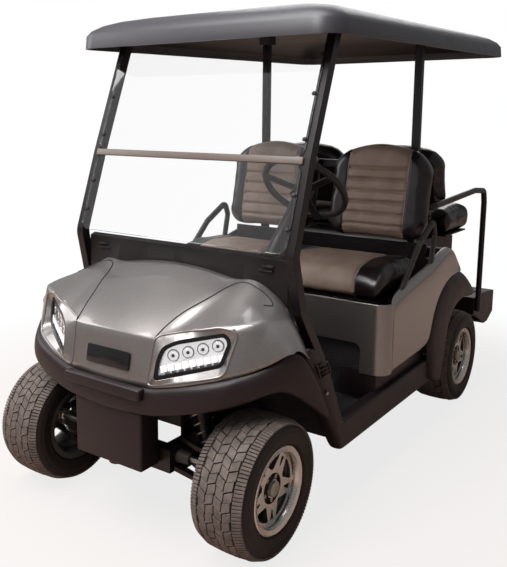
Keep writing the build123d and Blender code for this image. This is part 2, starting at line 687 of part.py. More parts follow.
deck_wall = 14.0
deck_low = deck_top - deck_wall
locker_half = 392.0
locker_low = 430.0
well_line = [(deck_near, deck_top), (-238, deck_top), (-149, 736), (-78, 676),
             (16, arch_top + 65), (70, arch_top)]
locker_side = [(-230, deck_low + 2), (-150, 730), (-80, 670), (14, arch_top + 60),
               (40, arch_top + 30), (deck_far - 10, arch_top - 20), (deck_far - 10, 774),
               (deck_far - 40, deck_low + 2)]

with BuildPart() as rear_body:
    with BuildSketch(Plane.YZ.offset(locker_half - deck_wall)):
        Polygon(*rear(well_line), *rear([(a - 4, z - deck_wall) for a, z in reversed(well_line)]),
                align=None)
    extrude(amount=body_half - gap - locker_half)
    with BuildSketch(Plane.YZ.offset(locker_half - deck_wall)):
        Polygon(*rear(locker_side), align=None)
    extrude(amount=deck_wall)
    mirror(about=Plane.YZ)
    with BuildSketch(Plane.YZ.offset(-locker_half)):
        Polygon(*rear([(deck_near, deck_top), (deck_far - 40, deck_top), (deck_far, 780),
                       (deck_far, locker_low), (deck_far - deck_wall, locker_low),
                       (deck_far - deck_wall, 774), (deck_far - 46, deck_low),
                       (deck_near, deck_low)]), align=None)
    extrude(amount=2 * locker_half)
    for side in (-1, 1):
        for edge in (-1, 1):
            ear_x = side * hinge_x + edge * (hinge_half + 1 + ear_thick / 2)
            with Locations((ear_x, rear_axle_y + (deck_far + rear_hinge[0] + 10) / 2, 794)):
                Box(ear_thick, rear_hinge[0] + 10 - deck_far, 84)
        with BuildSketch(Plane.YZ.offset(side * hinge_x - hinge_half - 1 - ear_thick)):
            with Locations((rear_axle_y + rear_hinge[0], rear_hinge[1])):
                Circle(pin_radius)
        extrude(amount=2 * (hinge_half + 1 + ear_thick))
        with Locations((side * hinge_x, rear_axle_y + 30, (deck_top + 823.7) / 2)):
            Box(60, 40, 823.7 - deck_top)
finish(rear_body, "rear_body")

# ---- seat frame: ring under the front seat, bulkhead and deck bearers ----
cushion_low = 683.0
ring_tube = 28.0
ring_half = 520.0
bulkhead_station = -398.0
ring_far_station = -470.0
bulkhead_steps = [   # half width, lower edge, upper edge
    (520, 600, 848), (521.5, rail_top, 345), (575.5, 341, 600), (579.5, 600, 785)]

with BuildPart() as seat_frame:
    ring_z = cushion_low - 8 - ring_tube / 2
    ring_near = rear_axle_y - 930
    ring_far = rear_axle_y + ring_far_station
    with Locations((0, (ring_near + ring_far) / 2, ring_z)):
        Box(2 * ring_half, ring_far - ring_near, ring_tube)
        Box(2 * (ring_half - ring_tube), ring_far - ring_near - 2 * ring_tube, ring_tube,
            mode=Mode.SUBTRACT)
    for side in (-1, 1):
        for y in (ring_near + ring_tube / 2, ring_far - ring_tube / 2):
            height = ring_z - rail_top
            with Locations((side * rail_x, y, rail_top + height / 2)):
                Box(ring_tube, ring_tube, height)
    for half, low, high in bulkhead_steps:
        with Locations((0, rear_axle_y + bulkhead_station, (low + high) / 2)):
            Box(2 * half, 12, high - low)
    for side in (-1, 1):
        with Locations((side * 400, (ring_far + rear_axle_y + bulkhead_station) / 2, ring_z)):
            Box(ring_tube, rear_axle_y + bulkhead_station - ring_far, ring_tube)
        for edge in (-1, 1):
            ear_x = side * hinge_x + edge * (hinge_half + 1 + ear_thick / 2)
            with Locations((ear_x, rear_axle_y + seat_hinge[0], (cushion_low - 8 + 695) / 2)):
                Box(ear_thick, 18, 695 - cushion_low + 8)
        with BuildSketch(Plane.YZ.offset(side * hinge_x - hinge_half - 1 - ear_thick)):
            with Locations((rear_axle_y + seat_hinge[0], seat_hinge[1])):
                Circle(pin_radius)
        extrude(amount=2 * (hinge_half + 1 + ear_thick))
    bearer_low = rear_rail_low + rail_depth
    for side in (-1, 1):
        for offset in (-280, 240):
            with Locations((side * rail_x, rear_axle_y + offset, (bearer_low + deck_low) / 2)):
                Box(40, 40, deck_low - bearer_low)
        with Locations((side * (rail_x + rear_strut_x) / 2, rear_axle_y - 300, 676)):
            Box(rear_strut_x - rail_x + 40, 34, 28)
finish(seat_frame, "seat_frame")

with BuildPart() as battery_pack:
    with Locations((0, rear_axle_y - 715, rail_top + 130)):
        Box(600, 330, 260)
finish(battery_pack, "battery_pack")

# ---- seats ----
pan_thick = 8.0
cushion_section = rear([(-939, 690), (-926, 760), (-880, 800), (-760, 824), (-560, 812),
                        (-508, 800), (-508, cushion_low), (-920, cushion_low)])
seat_half = 546.0

with BuildPart() as front_seat_cushion:
    with BuildSketch(Plane.YZ.offset(-seat_half)):
        Polygon(*cushion_section, align=None)
    extrude(amount=2 * seat_half)
finish(front_seat_cushion, "front_seat_cushion")

with BuildPart() as front_seat_pan:
    with Locations((0, rear_axle_y - 711, cushion_low - pan_thick / 2)):
        Box(1030, 406, pan_thick)
    for side in (-1, 1):
        with BuildSketch(Plane.YZ.offset(side * hinge_x - hinge_half)):
            with Locations((rear_axle_y + seat_hinge[0], seat_hinge[1])):
                Circle(knuckle_radius)
            with Locations((rear_axle_y - 505, cushion_low - pan_thick / 2)):
                Rectangle(16, pan_thick)
            with Locations((rear_axle_y + seat_hinge[0], seat_hinge[1])):
                Circle(pin_radius + running_clearance, mode=Mode.SUBTRACT)
        extrude(amount=2 * hinge_half)
finish(front_seat_pan, "front_seat_pan")

backrest_lean = 11.0
back_width = 500.0
back_height = 400.0
back_thick = 84.0
back_centre_x = 283.0
front_back_foot = (-492.0, 872.0)
rear_back_foot = (-20.0, 966.0)
rear_back_width = 446.0
rear_back_height = 310.0
rear_back_centre_x = 263.0

with BuildPart() as front_backrests:
    plane = Plane(origin=(back_centre_x, rear_axle_y + front_back_foot[0], front_back_foot[1]),
                  x_dir=(1, 0, 0),
                  z_dir=(0, -cos(radians(backrest_lean)), sin(radians(backrest_lean))))
    with BuildSketch(plane):
        with Locations((0, back_height / 2)):
            RectangleRounded(back_width, back_height, 70)
    extrude(amount=-back_thick)
    mirror(about=Plane.YZ)
finish(front_backrests, "front_backrests")

with BuildPart() as rear_backrests:
    plane = Plane(origin=(rear_back_centre_x, rear_axle_y + rear_back_foot[0], rear_back_foot[1]),
                  x_dir=(-1, 0, 0),
                  z_dir=(0, cos(radians(backrest_lean)), sin(radians(backrest_lean))))
    with BuildSketch(plane):
        with Locations((0, rear_back_height / 2)):
            RectangleRounded(rear_back_width, rear_back_height, 70)
    extrude(amount=-back_thick)
    mirror(about=Plane.YZ)
finish(rear_backrests, "rear_backrests")

lean_slope = sin(radians(backrest_lean)) / cos(radians(backrest_lean))
back_depth = back_thick / cos(radians(backrest_lean))


def front_back_rear(z):
    """Station of the front backrests' rear face at a height."""
    return front_back_foot[0] + (z - front_back_foot[1]) * lean_slope + back_depth


def rear_back_front(z):
    """Station of the rear backrests' front face at a height."""
    return rear_back_foot[0] - (z - rear_back_foot[1]) * lean_slope - back_depth


with BuildPart() as seat_back_frame:
    for z in (930, 1170):
        with BuildSketch(Plane.YZ.offset(-rear_strut_x - 30)):
            Polygon(*rear([(front_back_rear(z), z), (strut_front_face, z),
                           (strut_front_face, z + 34), (front_back_rear(z + 34), z + 34)]),
                    align=None)
        extrude(amount=2 * rear_strut_x + 60)
    for z in (1010, 1150):
        with BuildSketch(Plane.YZ.offset(rear_strut_x - 17)):
            Polygon(*rear([(rear_strut_station + 17, z), (rear_back_front(z), z),
                           (rear_back_front(z + 34), z + 34), (rear_strut_station + 17, z + 34)]),
                    align=None)
        extrude(amount=34)
    mirror(about=Plane.YZ)
finish(seat_back_frame, "seat_back_frame")

hip_path = [(565, -790, 650), (565, -790, 700), (565, -600, 880), (565, -450, 960),
            (565, -425, 900), (565, -455, 770), (565, -455, 650)]
hip_foot_inner = 520.5
hip_foot_outer = 579.5
with BuildPart() as hip_restraints:
    points = [(x, rear_axle_y + a, z) for x, a, z in hip_path]
    with BuildLine() as line:
        FilletPolyline(*points, radius=24)
    with BuildSketch(Plane(origin=points[0], x_dir=(1, 0, 0), z_dir=line.line % 0)):
        RectangleRounded(18, 30, 7)
    sweep()
    for station in (-790, -455):
        with Locations(((hip_foot_inner + hip_foot_outer) / 2, rear_axle_y + station, 661)):
            Box(hip_foot_outer - hip_foot_inner, 40, 22)
    mirror(about=Plane.YZ)
finish(hip_restraints, "hip_restraints")

rear_seat_half = 486.0
with BuildPart() as rear_seat_cushion:
    with BuildSketch(Plane.YZ.offset(-rear_seat_half)):
        Polygon(*rear([(-10, 832), (306, 832), (316, 860), (306, 930), (260, 952),
                       (0, 944), (-10, 920)]), align=None)
    extrude(amount=2 * rear_seat_half)
finish(rear_seat_cushion, "rear_seat_cushion")

with BuildPart() as rear_seat_pan:
    with Locations((0, rear_axle_y + 150, 832 - pan_thick / 2)):
        Box(2 * rear_seat_half - 40, 300, pan_thick)
    for side in (-1, 1):
        with BuildSketch(Plane.YZ.offset(side * hinge_x - hinge_half)):
            with Locations((rear_axle_y + rear_hinge[0], rear_hinge[1])):
                Circle(knuckle_radius)
            with Locations((rear_axle_y + 316, 832 - pan_thick / 2)):
                Rectangle(32, pan_thick)
            with Locations((rear_axle_y + rear_hinge[0], rear_hinge[1])):
                Circle(pin_radius + running_clearance, mode=Mode.SUBTRACT)
        extrude(amount=2 * hinge_half)
finish(rear_seat_pan, "rear_seat_pan")

# ---- footrest, grab bars ----
foot_half = 491.0
foot_top = rear_rail_low + 95
foot_wall = 8.0
foot_line = [(rail_rear_station, foot_top), (610, foot_top), (rear_overhang, foot_top - 22),
             (rear_overhang, foot_top - 150), (720, foot_top - 192), (660, foot_top - 192),
             (rail_rear_station, rear_rail_low)]
with BuildPart() as footrest:
    with BuildSketch(Plane.YZ.offset(-foot_half)):
        Polygon(*rear(foot_line), align=None)
    extrude(amount=2 * foot_half)
    for near, far in ((rail_rear_station + 60, 625), (645, rear_overhang - foot_wall)):
        with Locations((0, rear_axle_y + (near + far) / 2, foot_top - 22 - foot_wall - 100)):
            Box(2 * (foot_half - foot_wall), far - near, 200, mode=Mode.SUBTRACT)
finish(footrest, "footrest")

hoop_x = 506.0
hoop_path = [(427.5, -300, 1003), (hoop_x, -300, 1006), (hoop_x, 300, 1036), (hoop_x, 452, 1024),
             (hoop_x, 470, 960), (hoop_x, 466, rear_rail_low + 20)]
with BuildPart() as grab_bars:
    points = [(x, rear_axle_y + a, z) for x, a, z in hoop_path]
    with BuildLine() as line:
        FilletPolyline(*points, radius=30)
    with BuildSketch(Plane(origin=points[0], x_dir=(0, 1, 0), z_dir=line.line % 0)):
        Circle(15)
    sweep()
    mirror(about=Plane.YZ)
finish(grab_bars, "grab_bars")

# ---- steering column and wheel, pedals, tail lights ----
wheel_centre = (265.0, 612.0, 1130.0)
column_tilt = 45.0
wheel_ring = 165.0
grip_radius = 13.0
column_plane = Plane(origin=(wheel_centre[0], front_axle_y + wheel_centre[1], wheel_centre[2]),
                     x_dir=(1, 0, 0),
                     z_dir=(0, cos(radians(column_tilt)), sin(radians(column_tilt))))

column_length = (wheel_centre[1] + wheel_centre[2] - dash_top[2][0] - dash_top[2][1]) / sqrt(2)

with BuildPart() as steering_column:
    with BuildSketch(column_plane.offset(-column_length)):
        Circle(27)
    extrude(amount=column_length - 46)
finish(steering_column, "steering_column")

with BuildPart() as steering_wheel:
    with BuildSketch(Plane(origin=column_plane.origin, x_dir=(1, 0, 0),
                           z_dir=column_plane.y_dir)):
        with Locations((wheel_ring, 0)):
            Circle(grip_radius)
    revolve(axis=Axis(column_plane.origin, column_plane.z_dir))
    with BuildSketch(column_plane.offset(-46 + gap)):
        Circle(42)
    extrude(amount=42)
    with BuildSketch(column_plane.offset(-20)):
        with PolarLocations(95, 3, start_angle=90):
            Rectangle(150, 26)
    extrude(amount=10)
finish(steering_wheel, "steering_wheel")

with BuildPart() as pedals:
    for x, half_width in ((160, 35), (300, 60)):
        with BuildSketch(Plane.YZ.offset(x - half_width)):
            Polygon(*front([(366, 287.3), (366, 300), (378, 306), (300, 500), (312, 505),
                            (398, 300), (398, 287.3)]), align=None)
        extrude(amount=2 * half_width)
finish(pedals, "pedals")

lamp_x = 190.0

with BuildPart() as tail_lights:
    with Locations((lamp_x, rear_axle_y + deck_far + 9, 700),
                   (-lamp_x, rear_axle_y + deck_far + 9, 700)):
        Box(90, 18, 60)
finish(tail_lights, "tail_lights")
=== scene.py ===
"""Four-seat golf cart: the looks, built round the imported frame."""

from math import atan2, copysign, cos, pi, radians, sin

import bmesh
import bpy
from mathutils import Matrix, Vector
from mathutils.bvhtree import BVHTree


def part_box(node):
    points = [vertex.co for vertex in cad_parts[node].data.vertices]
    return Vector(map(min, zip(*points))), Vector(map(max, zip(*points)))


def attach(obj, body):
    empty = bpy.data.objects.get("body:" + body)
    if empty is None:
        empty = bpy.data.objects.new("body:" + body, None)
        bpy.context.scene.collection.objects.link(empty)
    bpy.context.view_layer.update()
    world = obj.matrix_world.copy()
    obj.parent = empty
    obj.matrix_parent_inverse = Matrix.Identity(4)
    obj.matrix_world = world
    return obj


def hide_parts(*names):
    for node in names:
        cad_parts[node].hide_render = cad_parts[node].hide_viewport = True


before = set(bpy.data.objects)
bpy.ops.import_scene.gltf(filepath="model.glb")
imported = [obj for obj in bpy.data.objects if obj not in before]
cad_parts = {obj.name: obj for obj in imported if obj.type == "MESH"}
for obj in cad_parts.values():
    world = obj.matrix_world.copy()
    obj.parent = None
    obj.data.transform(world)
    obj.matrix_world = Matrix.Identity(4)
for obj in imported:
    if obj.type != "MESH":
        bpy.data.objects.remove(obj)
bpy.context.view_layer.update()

# ---- the camera ----
# Eye height of someone crouching two and a half metres off the left front wheel.
eye = Vector((1.682, -2.9445, 1.392))
heading, downward, lean_over = radians(34.62), radians(9.21), radians(0.5)
lens_shift = (0.0086, -0.082)

backwards = Vector((sin(heading) * cos(downward), -cos(heading) * cos(downward), sin(downward)))
sideways = Vector((cos(heading), sin(heading), 0))
upwards = backwards.cross(sideways)
view_right = cos(lean_over) * sideways + sin(lean_over) * upwards
view_up = -sin(lean_over) * sideways + cos(lean_over) * upwards
camera = bpy.data.objects.new("camera", bpy.data.cameras.new("camera"))
camera.matrix_world = Matrix((view_right, view_up, backwards)).transposed().to_4x4()
camera.location = eye
camera.data.lens = 45.98
camera.data.sensor_width = 36
camera.data.shift_x, camera.data.shift_y = lens_shift
camera.data.clip_start = 0.05
bpy.context.scene.collection.objects.link(camera)
bpy.context.scene.camera = camera
bpy.context.scene.view_settings.view_transform = "Standard"

# ---- the studio ----
# A white sweep of paper that takes the cart's soft shadow, a white room for the paint
# and glass to see, and soft lamps overhead and at each side.


def linear(colour):
    """An sRGB hex colour as the linear numbers that a shader takes."""
    parts = [int(colour[i:i + 2], 16) / 255 for i in (1, 3, 5)]
    return [c / 12.92 if c <= 0.04045 else ((c + 0.055) / 1.055) ** 2.4 for c in parts] + [1]


def add_node(tree, kind, settings=None, to=None, **links):
    """Adds a node, sets its properties and inputs, and may link it to the shader's input."""
    node = tree.nodes.new("ShaderNode" + kind)
    for name, value in (settings or {}).items():
        setattr(node, name, value)
    for name, value in links.items():
        socket = node.inputs[int(name[1:])] if name[1:].isdigit() else node.inputs[
            name.replace("_", " ")]
        if isinstance(value, bpy.types.Node):
            value = value.outputs[0]
        if isinstance(value, bpy.types.NodeSocket):
            tree.links.new(value, socket)
        else:
            socket.default_value = value
    if to:
        tree.links.new(node.outputs[0], tree.nodes["Principled BSDF"].inputs[to])
    return node


def new_material(name, colour, roughness, metallic=0.0, **constants):
    """A material of one plain finish: itself, its node tree and its object space."""
    material = bpy.data.materials.new(name)
    material.use_nodes = True
    shader = material.node_tree.nodes["Principled BSDF"]
    shader.inputs["Base Color"].default_value = linear(colour)
    shader.inputs["Roughness"].default_value = roughness
    shader.inputs["Metallic"].default_value = metallic
    for socket, value in constants.items():
        shader.inputs[socket.replace("_", " ")].default_value = value
    place = add_node(material.node_tree, "TexCoord").outputs["Object"]
    return material, material.node_tree, place


# The room is dim where the cart sees it and white where the camera does.
world = bpy.data.worlds.new("studio")
bpy.context.scene.world = world
world.use_nodes = True
tree = world.node_tree
path = add_node(tree, "LightPath")
dim = tree.nodes["Background"]
dim.inputs["Color"].default_value = (1, 1, 1, 1)
dim.inputs["Strength"].default_value = 0.27
white = add_node(tree, "Background", Color=(1, 1, 1, 1), Strength=1.0)
seen = add_node(tree, "Math", {"operation": "MAXIMUM"}, _0=path.outputs["Is Camera Ray"],
                _1=path.outputs["Is Transmission Ray"])
tree.links.new(add_node(tree, "MixShader", _0=seen, _1=dim, _2=white).outputs[0],
               tree.nodes["World Output"].inputs["Surface"])

# The floor is pale matt paper, lifted to white for the camera over the shadow it keeps.
floor_mesh = bmesh.new()
bmesh.ops.create_grid(floor_mesh, x_segments=1, y_segments=1, size=20)
floor = bpy.data.objects.new("floor", bpy.data.meshes.new("floor"))
floor_mesh.to_mesh(floor.data)
paper, tree, place = new_material("pale_paper", "#a79084", 0.9)
path = add_node(tree, "LightPath")
glow = add_node(tree, "Emission", Color=(1, 1, 1, 1), Strength=1.0)
seen = add_node(tree, "Math", {"operation": "MAXIMUM"}, _0=path.outputs["Is Camera Ray"],
                _1=path.outputs["Is Transmission Ray"])
distance = add_node(tree, "VectorMath", {"operation": "LENGTH"}, Vector=place)
clearing = add_node(tree, "MapRange", {"interpolation_type": "SMOOTHSTEP"},
                    Value=distance.outputs["Value"], From_Min=1.3, From_Max=2.6, To_Min=0.80,
                    To_Max=1.0)
lift = add_node(tree, "Math", {"operation": "MULTIPLY"}, _0=seen, _1=clearing)
matt = tree.nodes["Principled BSDF"]
tree.links.new(add_node(tree, "MixShader", _0=lift, _1=matt, _2=glow).outputs[0],
               tree.nodes["Material Output"].inputs["Surface"])
floor.data.materials.append(paper)
bpy.context.scene.collection.objects.link(floor)

for name, place, power, size in (
        ("key", (-0.6, -4.6, 5.5), 330, 3.0),
        ("overhead", (-0.8, -1.8, 6.0), 340, 4.0),
        ("side", (-5.5, -2.5, 3.5), 120, 3.0),
        ("back", (-2.5, 5.5, 4.5), 150, 4.0)):
    lamp = bpy.data.objects.new(name, bpy.data.lights.new(name, "AREA"))
    lamp.data.energy = power
    lamp.data.size = size
    lamp.location = place
    lamp.rotation_euler = (Vector((0, 0, 0.8)) - Vector(place)).to_track_quat("-Z", "Y").to_euler()
    bpy.context.scene.collection.objects.link(lamp)

# ---- frame, axles and suspension ----
# Welded box rails with bolted wishbones, dampers and a live rear axle. The steel is powder
# coated black; the knuckles and rack are rough castings and the rods are zinc plated.
powder_coat, tree, place = new_material("powder_coated_steel", "#160f11", 0.36,
                                        Specular_IOR_Level=0.35)
# Powder flows out to a satin skin with a faint orange peel, 2.5 mm across.
peel = add_node(tree, "TexNoise", Vector=place, Scale=1 / 0.0025, Detail=2.0)
add_node(tree, "Bump", to="Normal", Strength=0.25, Distance=0.0002, Height=peel)

cast_iron, tree, place = new_material("sand_cast_iron", "#3a3633", 0.62, 0.4)
# Sand casting leaves a pitted dull face, drawn 3 mm coarse, darker in its hollows.
pits = add_node(tree, "TexNoise", Vector=place, Scale=1 / 0.003, Detail=4.0)
tones = add_node(tree, "ValToRGB", to="Base Color", Fac=pits)
tones.color_ramp.elements[0].color = linear("#262322")
tones.color_ramp.elements[1].color = linear("#4c4642")
add_node(tree, "Bump", to="Normal", Strength=0.5, Distance=0.0006, Height=pits)

zinc, tree, place = new_material("zinc_plated_steel", "#9a9892", 0.34, 1.0)
# Bright plating clouds as it ages, in soft patches about 20 mm across.
clouds = add_node(tree, "TexNoise", Vector=place, Scale=1 / 0.02, Detail=3.0)
add_node(tree, "MapRange", to="Roughness", Value=clouds, To_Min=0.25, To_Max=0.5)


def finish_nodes(finish, *nodes):
    """Gives CAD nodes the one material they are finished in."""
    for node in nodes:
        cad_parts[node].data.materials.clear()
        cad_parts[node].data.materials.append(finish)


finish_nodes(powder_coat, "frame_rails", "seat_frame", "seat_back_frame", "front_suspension")
finish_nodes(cast_iron, "rear_axle", "steering_rack", "knuckle_left", "knuckle_right")
finish_nodes(zinc, "tie_rods")


def shade(mesh, angle):
    """Smooths a bmesh over every edge flatter than the angle, and keeps the rest sharp."""
    for face in mesh.faces:
        face.smooth = True
    for edge in mesh.edges:
        edge.smooth = edge.calc_face_angle(pi) < radians(angle)


def add_piece(name, mesh, materials, slot, *nodes, body="chassis", smooth=30):
    """Makes an object of a bmesh, smooth up to an angle, which rides on a body and stands
    for the nodes."""
    if smooth:
        shade(mesh, smooth)
    piece = bpy.data.objects.new(name, bpy.data.meshes.new(name))
    mesh.to_mesh(piece.data)
    mesh.free()
    for material in materials:
        piece.data.materials.append(material)
    bpy.context.scene.collection.objects.link(piece)
    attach(piece, body)
    if nodes:
        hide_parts(*nodes)
    return piece


# ---- coil springs ----
# A wound steel spring round each front damper, held between two pressed cups and zinc
# plated like the rods.


def placed(middle, tilt=0, axis="X"):
    """A place in the cart, tilted by degrees on one axis."""
    return Matrix.Translation(middle) @ Matrix.Rotation(radians(tilt), 4, axis)


def mirror_across(mesh):
    """Adds a bmesh's mirror image on the cart's other side."""
    bmesh.ops.mirror(mesh, geom=mesh.verts[:] + mesh.edges[:] + mesh.faces[:], axis="X",
                     merge_dist=0)
    bmesh.ops.recalc_face_normals(mesh, faces=mesh.faces)


spring_radius, wire_radius, spring_turns = 0.031, 0.005, 7
front_axle_y = -1.1225
damper_low = Vector((0.292, front_axle_y, 0.232))
damper_high = Vector((0.212, front_axle_y, 0.440))
spring = bmesh.new()
damper_run = damper_high - damper_low
wire = bmesh.ops.create_circle(spring, segments=8, radius=wire_radius,
                               matrix=placed((spring_radius, 0, 0), 90))["verts"]
spring_steps = spring_turns * 20
bmesh.ops.spin(spring, geom=wire + spring.edges[:], cent=(0, 0, 0), axis=(0, 0, 1),
               dvec=(0, 0, damper_run.length / spring_steps), angle=2 * pi * spring_turns,
               steps=spring_steps, use_merge=False)
bmesh.ops.transform(spring, verts=spring.verts,
                    matrix=placed(damper_low)
                    @ damper_run.to_track_quat("Z", "Y").to_matrix().to_4x4())
mirror_across(spring)
add_piece("coil_springs", spring, [zinc], "running_gear", smooth=60)

# ---- tyres ----
# Turf tyres: a moulded rubber carcass with plain sidewalls, four rows of skewed blocks
# parted by wavy grooves, and a row of thin lugs over each shoulder. The tread is dusty.
tread_rubber, tree, place = new_material("dusty_tread_rubber", "#5a504b", 0.82)
# Rubber under a film of dry dust, which lies in patches about 30 mm across.
dust = add_node(tree, "TexNoise", Vector=place, Scale=1 / 0.03, Detail=5.0, Roughness=0.6)
tones = add_node(tree, "ValToRGB", to="Base Color", Fac=dust)
for stop, position, colour in zip(tones.color_ramp.elements, (0.35, 0.7), ("#4d443f", "#6c605a")):
    stop.position, stop.color = position, linear(colour)

wall_rubber, tree, place = new_material("moulded_tyre_rubber", "#1b1412", 0.55,
                                        Specular_IOR_Level=0.3)
# The mould leaves a semi-matt skin with a fine grain, drawn 1.5 mm coarse to show.
skin = add_node(tree, "TexNoise", Vector=place, Scale=1 / 0.0015, Detail=2.0)
add_node(tree, "Bump", to="Normal", Strength=0.3, Distance=0.0003, Height=skin)

tyre_radius = 0.2285
half_carcass = [   # across from the middle, radius: tread, shoulder, ribbed wall, bead
    (0.0, 0.2215), (0.030, 0.2213), (0.0575, 0.2195), (0.082, 0.2155), (0.093, 0.2085),
    (0.0985, 0.2020), (0.1010, 0.1925), (0.1018, 0.1845), (0.1024, 0.1835), (0.1024, 0.1790),
    (0.1012, 0.1778), (0.1008, 0.1680), (0.0985, 0.1560), (0.0992, 0.1550), (0.0985, 0.1510),
    (0.0960, 0.1495), (0.0900, 0.1440), (0.0810, 0.1425), (0.0700, 0.1290)]
tread_rows = [   # across, width, radius of the tops, tilt, skew, pairs of blocks round, shift
    (-0.0800, 0.0340, 0.2213, -20, 0.08, 60, 0.0),
    (-0.0465, 0.0310, 0.2268, -5, -0.42, 23, 0.0018),
    (-0.0155, 0.0310, 0.2283, -1, 0.42, 23, 0.0018),
    (0.0155, 0.0310, 0.2283, 1, -0.42, 23, 0.0018),
    (0.0465, 0.0310, 0.2268, 5, 0.42, 23, 0.0018),
    (0.0800, 0.0340, 0.2213, 20, 0.08, 60, 0.0)]
sipe, block_height = 0.0030, 0.0085


def roll_edges(mesh, width, segments, sharper=0.3, edges=None):
    """Rounds given edges, or every edge sharper than an angle in radians."""
    edges = edges or [e for e in mesh.edges if e.calc_face_angle(0) > sharper]
    bmesh.ops.bevel(mesh, geom=edges, offset=width, affect="EDGES", segments=segments,
                    profile=0.5, material=-1)


tyre = bmesh.new()
ring = [tyre.verts.new((x, 0, r)) for x, r in
        [(-x, r) for x, r in reversed(half_carcass[1:])] + half_carcass]
for a, b in zip(ring, ring[1:]):
    tyre.edges.new((a, b))
bmesh.ops.spin(tyre, geom=ring + tyre.edges[:], cent=(0, 0, 0), axis=(1, 0, 0),
               angle=2 * pi, steps=96, use_merge=True)
bmesh.ops.recalc_face_normals(tyre, faces=tyre.faces)
if tyre.faces[0].normal.dot(tyre.faces[0].calc_center_median()) < 0:
    bmesh.ops.reverse_faces(tyre, faces=tyre.faces)
for face in tyre.faces:
    face.material_index = 1
for row, (across, width, top, tilt, skew, pairs, shift) in enumerate(tread_rows):
    pitch = pi * tyre_radius / pairs
    before = set(tyre.faces)
    for i in (0, 1):
        done = set(tyre.faces)
        block = bmesh.ops.create_cube(tyre, size=1)["verts"]
        bmesh.ops.scale(tyre, verts=block, vec=(width - sipe, pitch - sipe, block_height))
        roll_edges(tyre, 0.0011, 1, edges=list({
            e for v in block for e in v.link_edges
            if e.verts[0].co.z + e.verts[1].co.z > block_height * 0.6}))
        corners = {v for f in set(tyre.faces) - done for v in f.verts}
        for v in corners:
            v.co.y += skew * v.co.x
        turn = (row * 0.15 + i) * pitch / tyre_radius
        seat = Vector((across + shift * (i - 0.5) * 2, 0, top - block_height / 2 - 0.0004))
        bmesh.ops.transform(tyre, verts=list(corners), matrix=Matrix.Rotation(turn, 4, "X")
                            @ placed(seat, tilt, "Y"))
    faces = list(set(tyre.faces) - before)
    pair = faces + list({e for f in faces for e in f.edges} | {v for f in faces
                                                               for v in f.verts})
    bmesh.ops.spin(tyre, geom=pair, cent=(0, 0, 0), axis=(1, 0, 0),
                   angle=2 * pi * (pairs - 1) / pairs, steps=pairs - 1, use_duplicate=True)
shade(tyre, 40)
tyre_mesh = bpy.data.meshes.new("tyre")
tyre.to_mesh(tyre_mesh)
tyre.free()

wheel_names = ("front_left", "front_right", "rear_left", "rear_right")
for name in wheel_names:
    low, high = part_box(name + "_tyre")
    tyre = bmesh.new()
    tyre.from_mesh(tyre_mesh)
    bmesh.ops.translate(tyre, verts=tyre.verts, vec=(low + high) / 2)
    add_piece(name + "_turf_tyre", tyre, [tread_rubber, wall_rubber], "tyre", name + "_tyre",
              body=name + "_wheel", smooth=None)

# ---- rims ----
# Cast aluminium wheels: the faces of the split spokes and the lip are machined bright, the
# pockets between them painted grey, and five plated nuts sit round a bare centre cap.
rim_metal, tree, place = new_material("machined_cast_aluminium", "#c9c6c2", 0.24, 1.0)
# Turning leaves a bright face with fine rings, and the pockets keep a satin grey paint.
lathe = add_node(tree, "TexNoise", Vector=place, Scale=1 / 0.004, Detail=3.0)
add_node(tree, "MapRange", to="Roughness", Value=lathe, To_Min=0.16, To_Max=0.34)

rim_paint, tree, place = new_material("grey_enamel", "#4a4746", 0.42, 0.3)
# Sprayed enamel in the pockets, with the casting's grain of about 2 mm under it.
grain = add_node(tree, "TexNoise", Vector=place, Scale=1 / 0.002, Detail=3.0)
add_node(tree, "Bump", to="Normal", Strength=0.3, Distance=0.0003, Height=grain)


def cad_copy(node, flat=0.5):
    """A merged copy of a CAD node's mesh, with its flat faces made whole."""
    mesh = bmesh.new()
    mesh.from_mesh(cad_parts[node].data)
    bmesh.ops.remove_doubles(mesh, verts=mesh.verts, dist=0.00002)
    bmesh.ops.dissolve_limit(mesh, angle_limit=radians(flat), verts=mesh.verts,
                             edges=mesh.edges)
    return mesh


def round_edges(piece, width, segments=2, angle=32):
    """Rolls every edge sharper than the angle, as a mould or a press leaves it."""
    bevel = piece.modifiers.new("round_edges", "BEVEL")
    bevel.width = width
    bevel.segments = segments
    bevel.limit_method = "ANGLE"
    bevel.angle_limit = radians(angle)
    bevel.harden_normals = True


nut_circle, nut_radius = 0.040, 0.0085
lip_depth, spoke_depth = 0.0655, 0.060
for name in wheel_names:
    low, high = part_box(name + "_tyre")
    middle = (low + high) / 2
    outboard = 1 if middle.x > 0 else -1
    rim = cad_copy(name + "_rim")
    for face in rim.faces:
        depth = (face.calc_center_median().x - middle.x) * outboard
        bright = (depth > lip_depth
                  or face.normal.x * outboard > 0.5 and depth > spoke_depth)
        face.material_index = 0 if bright else 1
    round_edges(add_piece(name + "_alloy_rim", rim, [rim_metal, rim_paint], "alloy",
                          name + "_rim", body=name + "_wheel", smooth=28), 0.0016)

    fittings = bmesh.new()
    for i in range(5):
        bmesh.ops.create_cone(fittings, segments=6, radius1=nut_radius, radius2=nut_radius,
                              depth=0.014, cap_ends=True,
                              matrix=Matrix.Rotation(2 * pi * (i + 0.5) / 5, 4, "X")
                              @ placed((0.058 * outboard, 0, nut_circle), 90, "Y"))
    bmesh.ops.create_cone(fittings, segments=40, radius1=0.026, radius2=0.026, depth=0.010,
                          cap_ends=True, matrix=placed((0.0725 * outboard, 0, 0), 90, "Y"))
    roll_edges(fittings, 0.0014, 2, 0.6)
    bmesh.ops.translate(fittings, verts=fittings.verts, vec=middle)
    add_piece(name + "_nuts_and_cap", fittings, [zinc], "alloy", body=name + "_wheel")

